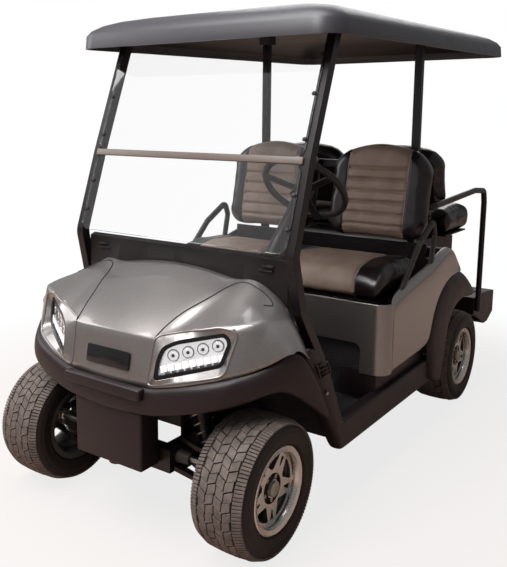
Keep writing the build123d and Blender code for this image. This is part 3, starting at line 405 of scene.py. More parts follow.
# ---- bumper, wheel flares, rocker panels and floor ----
# Dark moulded TPO, about 3 mm thick, clipped to the frame along its inner flanges. The
# mould rolls every edge and leaves a fine leather grain that dulls the surface.
black_tpo, tree, place = new_material("moulded_black_tpo", "#1d1114", 0.47,
                                      Specular_IOR_Level=0.35)
# Grained TPO: a satin, faintly warm black, its grain drawn 1.5 mm coarse to show.
grain = add_node(tree, "TexVoronoi", Vector=place, Scale=1 / 0.0015)
add_node(tree, "Bump", to="Normal", Strength=0.25, Distance=0.0002, Height=grain)
wear = add_node(tree, "TexNoise", Vector=place, Scale=1 / 0.06, Detail=4.0)
add_node(tree, "MapRange", to="Roughness", Value=wear, To_Min=0.38, To_Max=0.55)


def at(x, s, z):
    """A point in millimetres: left of the middle, behind the front axle and up."""
    return Vector((x / 1000, front_axle_y + s / 1000, z / 1000))


def stretched_sheet(rows, outward):
    """A smooth sheet over rows of millimetre points, each joined to the next, facing out."""
    mesh = bmesh.new()
    runs = []
    for row in rows:
        run = [mesh.verts.new(at(*point)) for point in row]
        runs.append([mesh.edges.new(pair) for pair in zip(run, run[1:])])
    for run, beyond in zip(runs, runs[1:]):
        bmesh.ops.bridge_loops(mesh, edges=run + beyond)
    bmesh.ops.recalc_face_normals(mesh, faces=mesh.faces)
    if sum(face.normal.dot(outward) for face in mesh.faces) < 0:
        bmesh.ops.reverse_faces(mesh, faces=mesh.faces)
    for face in mesh.faces:
        face.smooth = True
    return mesh


def mirrored_rows(rows):
    """Rows that start on the middle, with their mirror images before them."""
    return [[(-x, s, z) for x, s, z in row] for row in reversed(rows[1:])] + rows


def moulded_wall(piece, thickness, flowing=True):
    """Gives a sheet its wall, and its flowing curves where it has them."""
    if flowing:
        flow = piece.modifiers.new("flow", "SUBSURF")
        flow.levels = flow.render_levels = 3
    wall = piece.modifiers.new("wall", "SOLIDIFY")
    wall.thickness = thickness
    wall.offset = -1


# x, station and height across the moulding: lip, lower edge, face, ledge, shelf, upper edge
bumper_rows = [
    [(0, -206, 453), (0, -229, 450), (0, -233, 474),
     (0, -231, 522), (0, -222, 538), (0, -200, 545)],
    [(163, -193, 457), (163, -215, 454), (163, -219, 478),
     (163, -217, 525), (163, -208, 541), (163, -190, 548)],
    [(222, -187, 465), (222, -209, 463), (222, -213, 488),
     (222, -211, 536), (222, -203, 551), (222, -184, 560)],
    [(300, -172, 484), (300, -194, 481), (300, -198, 506),
     (300, -196, 554), (300, -188, 569), (300, -170, 578)],
    [(354, -158, 497), (358, -180, 494), (359, -184, 518),
     (358, -181, 566), (357, -173, 581), (354, -154, 590)],
    [(392, -142, 508), (399, -164, 505), (402, -168, 530),
     (400, -163, 576), (397, -154, 591), (392, -134, 600)],
    [(426, -120, 518), (438, -140, 515), (443, -144, 541),
     (441, -138, 587), (436, -128, 601), (428, -108, 610)],
    [(452, -96, 527), (467, -113, 524), (474, -116, 550),
     (471, -109, 596), (465, -99, 611), (455, -80, 620)],
    [(478, -68, 536), (496, -82, 533), (504, -83, 560),
     (501, -75, 606), (494, -65, 622), (484, -48, 633)],
    [(500, -38, 549), (520, -49, 546), (530, -49, 573),
     (527, -41, 620), (520, -32, 637), (510, -16, 648)],
    [(520, -6, 556), (541, -13, 553), (552, -12, 581),
     (550, -4, 634), (544, 4, 651), (534, 14, 664)],
    [(536, 32, 549), (558, 29, 546), (571, 29, 582),
     (572, 27, 644), (568, 24, 664), (560, 24, 682)],
    [(548, 84, 517), (571, 79, 514), (584, 76, 548),
     (589, 68, 620), (589, 62, 650), (587, 58, 674)],
    [(558, 144, 473), (580, 139, 470), (591, 136, 498),
     (595, 128, 556), (595, 122, 584), (592, 116, 612)],
    [(566, 202, 428), (588, 198, 425), (596, 196, 442),
     (598, 189, 478), (598, 184, 498), (595, 178, 520)],
    [(570, 238, 399), (591, 234, 397), (597, 233, 404),
     (598, 230, 418), (598, 228, 426), (595, 225, 436)]]
bumper = stretched_sheet(mirrored_rows(bumper_rows), Vector((0, -1, 0)))
moulded_wall(add_piece("bumper_and_flares", bumper, [black_tpo], "black_moulding",
                       "front_bumper", smooth=None), 0.004)


def add_block(mesh, size, middle, tilt=0, axis="X"):
    """Adds a block of a size about its middle, tilted by degrees on one axis."""
    bmesh.ops.create_cube(mesh, size=1, matrix=placed(middle, tilt, axis)
                          @ Matrix.Diagonal((*size, 1)))


# A bolted centre piece with rounded ends, and the box under it that bolts to the rails.
centre_piece = bmesh.new()
for wide, near, far, low, top in ((0.344, -0.2378, -0.203, 0.508, 0.549),
                                  (0.304, -0.208, -0.118, 0.2535, 0.458)):
    add_block(centre_piece, (wide, far - near, top - low),
              (0, front_axle_y + (near + far) / 2, (low + top) / 2))
roll_edges(centre_piece, 0.009, 4)
add_piece("bumper_centre", centre_piece, [black_tpo], "black_moulding")


def rounded_node(node, name, material, slot, width, segments, angle, smooth=30, flat=0.5,
                 body="chassis"):
    """A CAD node's merged copy as a piece of its own, with its edges rolled."""
    round_edges(add_piece(name, cad_copy(node, flat), [material], slot, node, body=body,
                          smooth=smooth), width, segments, angle)


rounded_node("rocker_panels", "rocker_panels_moulding", black_tpo, "black_moulding", 0.012, 5,
             24, smooth=24)

# x, station behind the rear axle and height across each rear flare: inner lip, edge of the
# arch, crest, slope, outer edge, tucked edge
flare_rows = [
    [(556, -318, 214), (586, -322, 214), (600, -350, 218),
     (600, -410, 228), (594, -446, 238), (572, -452, 241)],
    [(556, -286, 300), (586, -290, 300), (602, -324, 305),
     (602, -420, 320), (595, -466, 330), (572, -474, 332)],
    [(556, -266, 380), (586, -270, 382), (604, -306, 390),
     (603, -420, 412), (595, -482, 424), (572, -490, 425)],
    [(556, -246, 446), (586, -250, 449), (604, -286, 470),
     (604, -390, 504), (595, -462, 532), (572, -470, 536)],
    [(556, -194, 498), (586, -197, 503), (604, -226, 536),
     (604, -318, 590), (595, -388, 626), (572, -396, 634)],
    [(556, -112, 526), (586, -114, 531), (603, -130, 570),
     (603, -200, 638), (594, -262, 682), (568, -272, 696)],
    [(556, -12, 532), (586, -12, 538), (600, -10, 576),
     (598, -60, 638), (586, -110, 690), (556, -120, 706)],
    [(556, 66, 526), (584, 68, 531), (596, 72, 560),
     (590, 46, 600), (574, 18, 640), (548, 10, 652)],
    [(556, 104, 518), (580, 106, 522), (590, 108, 538),
     (586, 106, 556), (572, 102, 570), (550, 98, 576)]]
wheelbase = 1.664


def sheet_each_side(rows):
    """A stretched sheet on the cart's left and its mirror image on the right."""
    both = bmesh.new()
    for way in (-1, 1):
        side = stretched_sheet([[(way * x, s, z) for x, s, z in row] for row in rows],
                               Vector((way, 0, 0)))
        half = bpy.data.meshes.new("half")
        side.to_mesh(half)
        side.free()
        both.from_mesh(half)
    return both


flares = sheet_each_side([[(x, 1000 * wheelbase + s, z) for x, s, z in row]
                          for row in flare_rows])
moulded_wall(add_piece("rear_flares_moulding", flares, [black_tpo], "black_moulding",
                       "rear_flares", smooth=None), 0.004)

# The riser behind each front wheel: a rounded strap over the rocker's end, with a ridged
# clip across it and one plated rivet below.
strap_rows = [
    [(540, 104, 664), (572, 112, 668), (586, 122, 670), (572, 134, 668), (540, 140, 664)],
    [(540, 90, 640), (580, 96, 642), (591, 140, 646), (582, 186, 642), (540, 192, 640)],
    [(540, 138, 592), (582, 143, 593), (594, 190, 592), (585, 235, 590), (540, 240, 588)],
    [(540, 190, 512), (583, 195, 513), (595, 238, 512), (586, 280, 510), (540, 286, 508)],
    [(540, 238, 421), (583, 242, 421), (595, 282, 423), (586, 322, 425), (540, 328, 425)],
    [(540, 292, 332), (582, 296, 332), (594, 325, 332), (585, 350, 331), (540, 356, 331)],
    [(540, 344, 250), (580, 348, 251), (590, 360, 254), (580, 374, 258), (540, 380, 258)],
    [(545, 364, 232), (572, 368, 232), (580, 376, 234), (572, 386, 236), (545, 390, 236)]]
moulded_wall(add_piece("riser_straps", sheet_each_side(strap_rows), [black_tpo],
                       "black_moulding", smooth=None), 0.004)

clips = bmesh.new()
for i, (s, z, long) in enumerate(((188, 604, 0.044), (194, 590, 0.046), (202, 574, 0.048),
                                  (209, 560, 0.050))):
    add_block(clips, (0.007, long, 0.006 if i in (0, 3) else 0.004), at(594.5, s, z))
for s, z in ((164, 583), (232, 581)):
    add_block(clips, (0.007, 0.006, 0.056), at(592, s, z), 28)
roll_edges(clips, 0.0012, 2)
mirror_across(clips)
add_piece("riser_clips", clips, [black_tpo], "black_moulding")

rivets = bmesh.new()
for way in (-1, 1):
    bmesh.ops.create_uvsphere(rivets, u_segments=16, v_segments=8, radius=0.007,
                              matrix=placed(at(way * 594.5, 224, 492))
                              @ Matrix.Diagonal((0.5, 1, 1, 1)))
add_piece("riser_rivets", rivets, [zinc], "black_moulding", smooth=60)

floor_rubber, tree, place = new_material("ribbed_floor_rubber", "#29272a", 0.7)
# A moulded rubber mat with small raised studs 14 mm apart and dust between them.
studs = add_node(tree, "TexVoronoi", {"feature": "F1"}, Vector=place, Scale=1 / 0.014,
                 Randomness=0.0)
add_node(tree, "Bump", to="Normal", Strength=0.8, Distance=0.003, Height=studs)
finish_nodes(floor_rubber, "floor_pan")

# ---- nose cowl ----
# One large moulding sprayed in a metallic champagne grey under clear lacquer. A groove
# bounds the raised hood, and the lower edge tucks in behind the bumper.
body_paint, tree, place = new_material("metallic_lacquer", "#7d7775", 0.34, 0.72, Coat_Weight=1.0,
                                       Coat_Roughness=0.07)
# Aluminium flake in grey lacquer: bright where it faces a lamp, browner as it turns away,
# with flakes drawn 1.5 mm coarse so that they show.
flakes = add_node(tree, "TexVoronoi", Vector=place, Scale=1 / 0.0015)
tones = add_node(tree, "ValToRGB", to="Base Color", Fac=flakes)
tones.color_ramp.elements[0].color = linear("#948f8d")
tones.color_ramp.elements[1].color = linear("#6e6967")

hood_rows = [   # x, then side view points: bumper edge, lip, fender, crease, hood, rear edge
    (0, [(-210, 544), (-180, 705), (-150, 728), (-100, 760), (0, 812), (158, 880)]),
    (90, [(-206, 545), (-177, 704), (-148, 726), (-98, 758), (0, 809), (158, 876)]),
    (180, [(-200, 549), (-168, 700), (-152, 714), (-100, 754), (0, 804), (156, 866)]),
    (222, [(-196, 557), (-160, 711), (-132, 730), (-98, 752), (0, 802), (154, 858)]),
    (262, [(-189, 566), (-148, 722), (-66, 758), (30, 808), (90, 832), (151, 853)]),
    (294, [(-184, 572), (-138, 731), (-20, 782), (100, 836), (130, 848), (150, 855)]),
    (350, [(-164, 587), (-118, 746), (10, 796), (104, 838), (132, 852), (154, 862)]),
    (410, [(-137, 602), (-84, 756), (26, 794), (116, 820), (142, 826), (164, 826)]),
    (460, [(-96, 614), (-54, 770), (44, 790), (122, 798), (146, 796), (168, 788)]),
    (500, [(-56, 632), (-26, 764), (56, 776), (122, 768), (144, 752), (164, 726)]),
    (540, [(-16, 655), (4, 736), (62, 746), (112, 728), (132, 706), (150, 672)]),
    (560, [(6, 672), (14, 712), (60, 720), (102, 700), (122, 680), (143, 650)]),
    (576, [(15, 680), (22, 697), (60, 698), (98, 676), (118, 656), (134, 638)]),
    (583, [(26, 680), (32, 686), (60, 682), (98, 658), (112, 646), (122, 636)])]
hood = stretched_sheet(mirrored_rows([[(x, s, z) for s, z in row] for x, row in hood_rows]),
                       Vector((0, 0, 1)))
# The lip between the fascia and the fenders is the one tight edge.
lip_sharpness = 0.85
sharpness = hood.edges.layers.float.new("crease_edge")
for edge in hood.edges:
    a, b = (v.co for v in edge.verts)
    if abs(a.x - b.x) > 0.005 and min(abs(a.x), abs(b.x)) < 0.5:
        for x, points in hood_rows:
            lip_y = front_axle_y + points[1][0] / 1000
            if abs(abs(a.x) - x / 1000) < 0.001 and abs(a.y - lip_y) < 0.001:
                edge[sharpness] = lip_sharpness

# Each headlight lies on a plane turned out and tipped back; u runs outboard and v up.
lamp_along = Vector((0.89, 0.456, 0)).normalized()
lamp_facing = Vector((0.45, -0.878, 0.16)).normalized()
lamp_place = placed(at(300, -158, 655)) @ Matrix(
    (lamp_along, lamp_facing.cross(lamp_along), lamp_facing)).transposed().to_4x4()
lamp_outline = [(-106, -75), (114, -21), (143, 57), (122, 88), (-36, 56), (-80, 34), (-97, -8)]
surround_outline = [(-132, -97), (124, -42), (164, 90), (112, 105), (-20, 82), (-110, 62)]


def move_made(mesh, made, vec):
    """Moves the vertices among the elements that an operator made."""
    bmesh.ops.translate(mesh, verts=[g for g in made["geom"] if isinstance(
        g, bmesh.types.BMVert)], vec=vec)


def lamp_plate(mesh, outline, height, corner, rim=0):
    """A flat face of an outline at a height over the lamp's plane, its corners rounded, and
    inset where it has a rim."""
    verts = [mesh.verts.new((u / 1000, v / 1000, height)) for u, v in outline]
    face = mesh.faces.new(verts)
    bmesh.ops.bevel(mesh, geom=verts, offset=corner, affect="VERTICES", segments=4,
                    profile=0.5, material=-1)
    mesh.normal_update()
    face = max((f for f in mesh.faces if f.is_valid and abs(f.calc_center_median().z - height)
                < 1e-5), key=lambda f: f.calc_area())
    if rim:
        bmesh.ops.inset_region(mesh, faces=[face], use_boundary=True, use_even_offset=True,
                               thickness=rim, depth=0)
    return face


def on_both_sides(mesh):
    """Puts a lamp part on its plane and adds its mirror image on the cart's other side."""
    bmesh.ops.transform(mesh, verts=mesh.verts, matrix=lamp_place)
    mirror_across(mesh)


cutter_mesh = bmesh.new()
plate = lamp_plate(cutter_mesh, surround_outline, -0.07, 0.020)
move_made(cutter_mesh, bmesh.ops.extrude_face_region(cutter_mesh, geom=[plate]),
          (0, 0, 0.16))
on_both_sides(cutter_mesh)
cutter = bpy.data.objects.new("lamp_cutter", bpy.data.meshes.new("lamp_cutter"))
cutter_mesh.to_mesh(cutter.data)
cutter_mesh.free()
bpy.context.scene.collection.objects.link(cutter)

hood = add_piece("nose_cowl", hood, [body_paint], "body_paint", "cowl", smooth=None)
moulded_wall(hood, 0.004)
opening = hood.modifiers.new("lamp_openings", "BOOLEAN")
opening.operation = "DIFFERENCE"
opening.solver = "EXACT"
opening.object = cutter


def settle(piece):
    """Turns a piece's modifiers into its mesh."""
    shape = bpy.data.meshes.new_from_object(
        piece.evaluated_get(bpy.context.evaluated_depsgraph_get()))
    piece.modifiers.clear()
    piece.data = shape
    return shape


# The uncut skin is kept for the parts that lie on it, and then the openings are cut.
opening.show_viewport = False
bpy.context.view_layer.update()
hood_surface = BVHTree.FromObject(hood, bpy.context.evaluated_depsgraph_get())
opening.show_viewport = True
bpy.context.view_layer.update()
settle(hood)
bpy.data.objects.remove(cutter)

# The painted surround slopes from the cowl's skin down to the lamp's black bezel.
surround = bmesh.new()
lamp_plate(surround, surround_outline, 0.0, 0.020)
bmesh.ops.subdivide_edges(surround, edges=[e for e in surround.edges if e.calc_length() > 0.02],
                          cuts=7, use_grid_fill=False)
bmesh.ops.delete(surround, geom=surround.faces[:], context="FACES_ONLY")
lamp_plate(surround, lamp_outline, -0.011, 0.016)
bmesh.ops.subdivide_edges(surround, edges=[e for e in surround.edges if e.calc_length() > 0.03],
                          cuts=5, use_grid_fill=False)
bmesh.ops.delete(surround, geom=surround.faces[:], context="FACES_ONLY")
inner = [e for e in surround.edges if e.verts[0].co.z < -0.010]
bmesh.ops.bridge_loops(surround, edges=surround.edges[:])
move_made(surround, bmesh.ops.extrude_edge_only(surround, edges=inner), (0, 0, -0.018))
lip = sorted((v for v in surround.verts if v.co.z > -0.005),
             key=lambda v: atan2(v.co.y, v.co.x - 0.02))
lip_path = []
for v in lip:
    start = lamp_place @ Vector((v.co.x, v.co.y, 0.09))
    hit = hood_surface.ray_cast(start, -lamp_facing)
    if hit[0]:
        lip_height = 0.09 - hit[3] - 0.0005
    v.co.z = lip_height
    lip_path.append(lamp_place @ v.co)
on_both_sides(surround)
surround = add_piece("lamp_surrounds", surround, [body_paint], "body_paint", smooth=40)
moulded_wall(surround, 0.003, flowing=False)
round_edges(surround, 0.0015, 3)


def round_line(paths, radius, closed=False):
    """A round line of one radius along each path of points, as a bmesh."""
    curve = bpy.data.curves.new("round_line", "CURVE")
    curve.dimensions = "3D"
    curve.bevel_depth = radius
    for path in paths:
        line = curve.splines.new("NURBS")
        line.points.add(len(path) - 1)
        for point, co in zip(line.points, path):
            point.co = (*co, 1)
        line.order_u = 4
        line.use_cyclic_u, line.use_endpoint_u = closed, not closed
    holder = bpy.data.objects.new("round_line", curve)
    bpy.context.scene.collection.objects.link(holder)
    mesh = bmesh.new()
    mesh.from_mesh(bpy.data.meshes.new_from_object(
        holder.evaluated_get(bpy.context.evaluated_depsgraph_get())))
    bpy.data.objects.remove(holder)
    return mesh


# The cowl's edge rolls over into the surround in a bead.
bead = round_line([[(way * co.x, co.y, co.z) for co in lip_path] for way in (-1, 1)], 0.004,
                  closed=True)
add_piece("surround_beads", bead, [body_paint], "body_paint", smooth=60)

# The groove round the hood: a dark round line of 5 mm, painted shade where the gap lies,
# that follows the crease up from the lip, and turns back on itself at the windscreen strut.
groove_painted_shade, tree, place = new_material("painted_groove_shade", "#1a1819", 0.8)
# Painted shade, as little light reaches the bottom of a gap; dust lies in it in 10 mm patches.
dirt = add_node(tree, "TexNoise", Vector=place, Scale=1 / 0.01, Detail=2.0)
add_node(tree, "MapRange", to="Roughness", Value=dirt, To_Min=0.7, To_Max=0.95)
groove_points = [(180, -165), (184, -140), (195, -108), (203, -79), (214, -49), (232, -10),
                 (249, 30), (262, 70), (277, 105), (296, 132), (330, 136), (362, 130),
                 (392, 130), (420, 126), (440, 115), (454, 102), (450, 92), (432, 76)]
groove = round_line([[hood_surface.ray_cast(at(side * x, s, 1100), Vector((0, 0, -1)))[0]
                      for x, s in groove_points] for side in (-1, 1)], 0.0026)
add_piece("hood_groove_painted_shade", groove, [groove_painted_shade], "black_moulding", smooth=60)

# ---- name plate ----
# A blank plate moulded in gloss black ABS, pressed into a shallow seat of the fascia
# between the headlights.
gloss_black, tree, place = new_material("gloss_black_abs", "#151416", 0.16)
# Polished ABS mirrors the room, with faint hairline scratches of about 4 mm.
hairs = add_node(tree, "TexNoise", Vector=place, Scale=1 / 0.004, Detail=2.0)
add_node(tree, "MapRange", to="Roughness", Value=hairs, To_Min=0.10, To_Max=0.24)


def edges_along_y(mesh):
    """The edges that run through a block's thickness, from front to back."""
    return [e for e in mesh.edges if abs((e.verts[0].co - e.verts[1].co).y) > 0.004]


plate_mesh = bmesh.new()
add_block(plate_mesh, (0.192, 0.006, 0.060), (0, 0, 0))
roll_edges(plate_mesh, 0.006, 4, edges=edges_along_y(plate_mesh))
roll_edges(plate_mesh, 0.001, 2, 1)
plate_hit = hood_surface.ray_cast(Vector((0, -2, 0.617)), Vector((0, 1, 0)))
bmesh.ops.transform(plate_mesh, verts=plate_mesh.verts,
                    matrix=placed(plate_hit[0] + Vector((0, -0.001, 0)), -10.5))
add_piece("blank_name_plate", plate_mesh, [gloss_black], "black_moulding")

# ---- headlights ----
# A gloss black bezel holds a clear polycarbonate lens over a bright plated tray, which has
# four round reflectors above a row of small square cells.
bowl_middles = [((-44 + i * 47) / 1000, (8 + i * 12) / 1000) for i in range(4)]
cell_rise, cell_tilt = 5.4, 13

chrome, tree, place = new_material("vacuum_plated_reflector", "#f1eff0", 0.14, 0.75)
# Aluminium flashed on plastic: a near mirror with a slight orange peel of 3 mm.
peel = add_node(tree, "TexNoise", Vector=place, Scale=1 / 0.003, Detail=1.0)
add_node(tree, "Bump", to="Normal", Strength=0.15, Distance=0.0003, Height=peel)

clear_lens, tree, place = new_material("clear_polycarbonate", "#ffffff", 0.03,
                                       Transmission_Weight=1.0, IOR=1.58)
# Hard-coated polycarbonate: colourless, with a mirror shine and faint haze.
haze = add_node(tree, "TexNoise", Vector=place, Scale=1 / 0.02, Detail=2.0)
add_node(tree, "MapRange", to="Roughness", Value=haze, To_Min=0.01, To_Max=0.06)

painted_glow_guide, tree, place = new_material("frosted_guide_painted_glow", "#ffffff", 0.25,
                                        Emission_Color=linear("#fff1ee"), Emission_Strength=0.4)
# Frosted acrylic over small lamps, with a faint painted glow: an even, slightly pink white.
frost = add_node(tree, "TexNoise", Vector=place, Scale=1 / 0.003, Detail=2.0)
add_node(tree, "Bump", to="Normal", Strength=0.2, Distance=0.0003, Height=frost)

bezel = bmesh.new()
face = lamp_plate(bezel, lamp_outline, -0.012, 0.016, 0.013)
move_made(bezel, bmesh.ops.extrude_face_region(bezel, geom=[face]), (0, 0, -0.010))
bmesh.ops.delete(bezel, geom=[f for f in bezel.faces if f.calc_area() > 0.01],
                 context="FACES_ONLY")
outer = [e for e in bezel.edges if e.is_boundary and e.verts[0].co.z > -0.013]
move_made(bezel, bmesh.ops.extrude_edge_only(bezel, edges=outer), (0, 0, -0.013))
on_both_sides(bezel)
round_edges(add_piece("headlight_bezels", bezel, [gloss_black], "lamp_lens", "headlights",
                      smooth=40), 0.0015, 3)

tray = bmesh.new()
lamp_plate(tray, lamp_outline, -0.024, 0.016, 0.012)
for u, v in bowl_middles:
    before = set(tray.verts)
    bowl = bmesh.ops.create_uvsphere(tray, u_segments=14, v_segments=10, radius=0.0205)["verts"]
    bmesh.ops.bisect_plane(tray, geom=bowl + list({e for b in bowl for e in b.link_edges}
                                                  | {f for b in bowl for f in b.link_faces}),
                           plane_co=(0, 0, 0), plane_no=(0, 0, 1), clear_outer=True)
    bowl = [b for b in tray.verts if b not in before]
    bmesh.ops.scale(tray, verts=bowl, vec=(1, 1, -0.35))
    bmesh.ops.translate(tray, verts=bowl, vec=(u, v, -0.0238))
on_both_sides(tray)
add_piece("headlight_trays", tray, [chrome], "lamp_lens", smooth=12)

chips = bmesh.new()
for u, v in bowl_middles:
    for wide, narrow, deep, capped in ((0.0085, 0.005, 0.006, True),
                                       (0.0195, 0.0185, 0.004, False)):
        bmesh.ops.create_cone(chips, segments=24, radius1=wide, radius2=narrow, depth=deep,
                              cap_ends=capped, matrix=placed((u, v, -0.019)))
for i in range(8):
    add_block(chips, (0.015, 0.006, 0.003),
              ((-62 + i * 22) / 1000, (-48 + i * cell_rise) / 1000, -0.0215), cell_tilt, "Z")
on_both_sides(chips)
add_piece("headlight_chips", chips, [gloss_black], "lamp_lens")

cells = bmesh.new()
for i in range(9):
    add_block(cells, (0.0190, 0.021, 0.006),
              ((-74 + i * 23) / 1000, (-35 + i * cell_rise) / 1000, -0.019), cell_tilt, "Z")
roll_edges(cells, 0.0018, 2)
on_both_sides(cells)
add_piece("headlight_cells", cells, [painted_glow_guide], "lamp_lens", smooth=40)

lens = bmesh.new()
face = lamp_plate(lens, lamp_outline, -0.0155, 0.016, 0.0128)
bmesh.ops.delete(lens, geom=[f for f in lens.faces if f is not face], context="FACES")
on_both_sides(lens)
moulded_wall(add_piece("headlight_lenses", lens, [clear_lens], "lamp_lens", smooth=None),
             0.002, flowing=False)

# ---- dashboard ----
# A wide injection-moulded ABS dash with open pockets, a key switch and a light switch
# beside the column, and moulded louvres at the ends of the cowl top.
black_abs, tree, place = new_material("grained_black_abs", "#171112", 0.42,
                                      Specular_IOR_Level=0.35)
# Moulded ABS: satin black with a pebble grain, drawn 1.5 mm coarse.
pebble = add_node(tree, "TexVoronoi", Vector=place, Scale=1 / 0.0015)
add_node(tree, "Bump", to="Normal", Strength=0.2, Distance=0.0002, Height=pebble)
# The ends of the dash draw in towards the rear, clear of the struts.
dash = cad_copy("dashboard")
for v in dash.verts:
    behind = v.co.y - front_axle_y
    narrow = 0.464 - max(0.0, behind - 0.200) * 0.55
    if abs(v.co.x) > 0.40:
        inside = 0 if abs(v.co.x) > 0.44 else 0.014
        v.co.x = copysign(min(abs(v.co.x), narrow - inside), v.co.x)
round_edges(add_piece("dashboard_moulding", dash, [black_abs], "black_moulding", "dashboard"),
            0.004, 3)

# Two moulded louvres at each end of the cowl top, where the wall meets the struts.
louvres = bmesh.new()
for way in (-1, 1):
    for x, z, long in ((388, 908, 0.044), (380, 893, 0.056)):
        add_block(louvres, (long, 0.010, 0.006), at(way * x, 165.5, z), 25)
roll_edges(louvres, 0.0018, 3)
add_piece("cowl_louvres", louvres, [black_abs], "black_moulding")

switches = bmesh.new()
for x, z, size in ((120, 668, 0.012), (150, 672, 0.010)):
    bmesh.ops.create_cone(switches, segments=24, radius1=size, radius2=size * 0.9, depth=0.012,
                          cap_ends=True, matrix=placed(at(x, 355, z), 115))
roll_edges(switches, 0.0015, 2, 1)
add_piece("key_switch", switches, [zinc], "running_gear")

# ---- windscreen struts, rear struts and grab bars ----
# Bent steel tube, powder coated black. The struts are bolted to the floor at the front and
# to the seat frame at the rear, and the bars run from there to the footrest.
for node in ("front_struts", "rear_struts", "grab_bars"):
    rounded_node(node, node + "_tube", powder_coat, "frame_black", 0.0025, 2, 34, smooth=34,
                 flat=0.1)

# ---- windscreen ----
# Two sheets of clear acrylic, cut with rounded corners, which meet at a grey-brown vinyl
# hinge strip. Black round-headed screws hold them to the struts.
acrylic, tree, place = new_material("clear_acrylic", "#ffffff", 0.02, Transmission_Weight=1.0,
                                    IOR=1.49)
# Cast acrylic: colourless and glossy, with faint wiping haze in 60 mm patches.
haze = add_node(tree, "TexNoise", Vector=place, Scale=1 / 0.06, Detail=3.0)
add_node(tree, "MapRange", to="Roughness", Value=haze, To_Min=0.0, To_Max=0.03)

strip_vinyl, tree, place = new_material("extruded_grey_vinyl", "#5f524b", 0.4)
# Extruded vinyl shows faint draw lines along its length, 2 mm apart.
drawn = add_node(tree, "TexWave", {"bands_direction": "Z"}, Vector=place, Scale=1 / 0.006)
add_node(tree, "Bump", to="Normal", Strength=0.3, Distance=0.0003, Height=drawn.outputs["Fac"])

pane_half, pane_thick = 478, 0.005
panes = bmesh.new()
for low, high in (((134.1, 962), (227.9, 1248)), ((236.2, 1272), (378.2, 1652))):
    corners = [panes.verts.new(at(x, *end)) for x, end in (
        (-pane_half, low), (pane_half, low), (pane_half, high), (-pane_half, high))]
    panes.faces.new(corners)
    bmesh.ops.bevel(panes, geom=corners, offset=0.035, affect="VERTICES", segments=6,
                    profile=0.5, material=-1)
move_made(panes, bmesh.ops.extrude_face_region(panes, geom=panes.faces[:]),
          (0, pane_thick, 0))
bmesh.ops.recalc_face_normals(panes, faces=panes.faces)
add_piece("windscreen_panes", panes, [acrylic], "clear_screen", "windscreen")

strip = bmesh.new()
add_block(strip, (2 * pane_half / 1000 - 0.002, 0.010, 0.026), at(0, 234.6, 1260), -18)
roll_edges(strip, 0.003, 3)
add_piece("windscreen_strip", strip, [strip_vinyl], "clear_screen")

rubber, tree, place = new_material("extruded_black_rubber", "#120e0f", 0.6)
# Rubber is soft, matt and black, with fine marks of 2 mm from its die.
drawn = add_node(tree, "TexNoise", Vector=place, Scale=1 / 0.002, Detail=2.0)
add_node(tree, "Bump", to="Normal", Strength=0.25, Distance=0.0003, Height=drawn)

# Five screws lie along each strut, which leans back by 20 degrees.
screws = bmesh.new()
for side in (-1, 1):
    for s, z in ((159.7, 1040), (195.7, 1150), (257.9, 1330), (314.0, 1480), (362.5, 1610)):
        bmesh.ops.create_uvsphere(screws, u_segments=16, v_segments=8, radius=0.008,
                                  matrix=placed(at(side * 466, s - 1, z), -20)
                                  @ Matrix.Diagonal((1, 0.45, 1, 1)))
add_piece("windscreen_screws", screws, [rubber], "frame_black", smooth=60)

# ---- canopy ----
# A thermoformed ABS roof with a deep rolled skirt and a shallow dome, screwed down on pads
# at the tops of the struts. Its faces that look downward are given the black grained ABS.
roof_abs, tree, place = new_material("thermoformed_grey_abs", "#353338", 0.42)
# Vacuum-formed sheet: dark slate, smoother on its face than a moulding, with a soft
# mottle of 25 mm where the sheet stretched.
mottle = add_node(tree, "TexNoise", Vector=place, Scale=1 / 0.025, Detail=4.0)
add_node(tree, "MapRange", to="Roughness", Value=mottle, To_Min=0.34, To_Max=0.5)
grain = add_node(tree, "TexVoronoi", Vector=place, Scale=1 / 0.002)
add_node(tree, "Bump", to="Normal", Strength=0.12, Distance=0.0002, Height=grain)
roof = cad_copy("canopy", 0.2)
roof.normal_update()
for face in roof.faces:
    face.material_index = 1 if face.normal.z < -0.4 else 0
add_piece("canopy_shell", roof, [roof_abs, black_abs], "canopy_plastic", "canopy", smooth=40)

# ---- seat box and side panels ----
# The body colour carries on round the seat box as a bent front panel and two side panels,
# each about 3 mm thick, with rolled edges and a thin black joint between them.
rounded_node("seat_box_front", "seat_box_front_painted", body_paint, "body_paint", 0.003, 3,
             40)

# Each side panel from its front joint back over the wheel: stations of its lower and upper
# ends behind the rear axle, with their heights, and how far its face leans in.
panel_ends = [(-897, 404, -897, 688, 0), (-838, 406, -840, 714, 0), (-687, 408, -700, 739, 0),
              (-560, 414, -575, 760, 0), (-484, 424, -500, 772, 0), (-466, 520, -430, 790, 0),
              (-392, 622, -340, 813, 2), (-266, 678, -238, 828, 6), (-190, 684, -160, 782, 12),
              (-112, 686, -92, 716, 18)]
panel_rows = [[(x - lean * part, 1000 * wheelbase + s0 + (s1 - s0) * part,
                z0 + (z1 - z0) * part)
               for x, part in ((574, 0.0), (588, 0.012), (590, 0.06), (591, 0.35), (591, 0.7),
                               (589, 0.90), (582, 0.97), (560 if s0 > -880 else 576, 1.0))]
              for s0, z0, s1, z1, lean in panel_ends]
moulded_wall(add_piece("side_panels_painted", sheet_each_side(panel_rows), [body_paint],
                       "body_paint", "side_panels", smooth=None), 0.003)

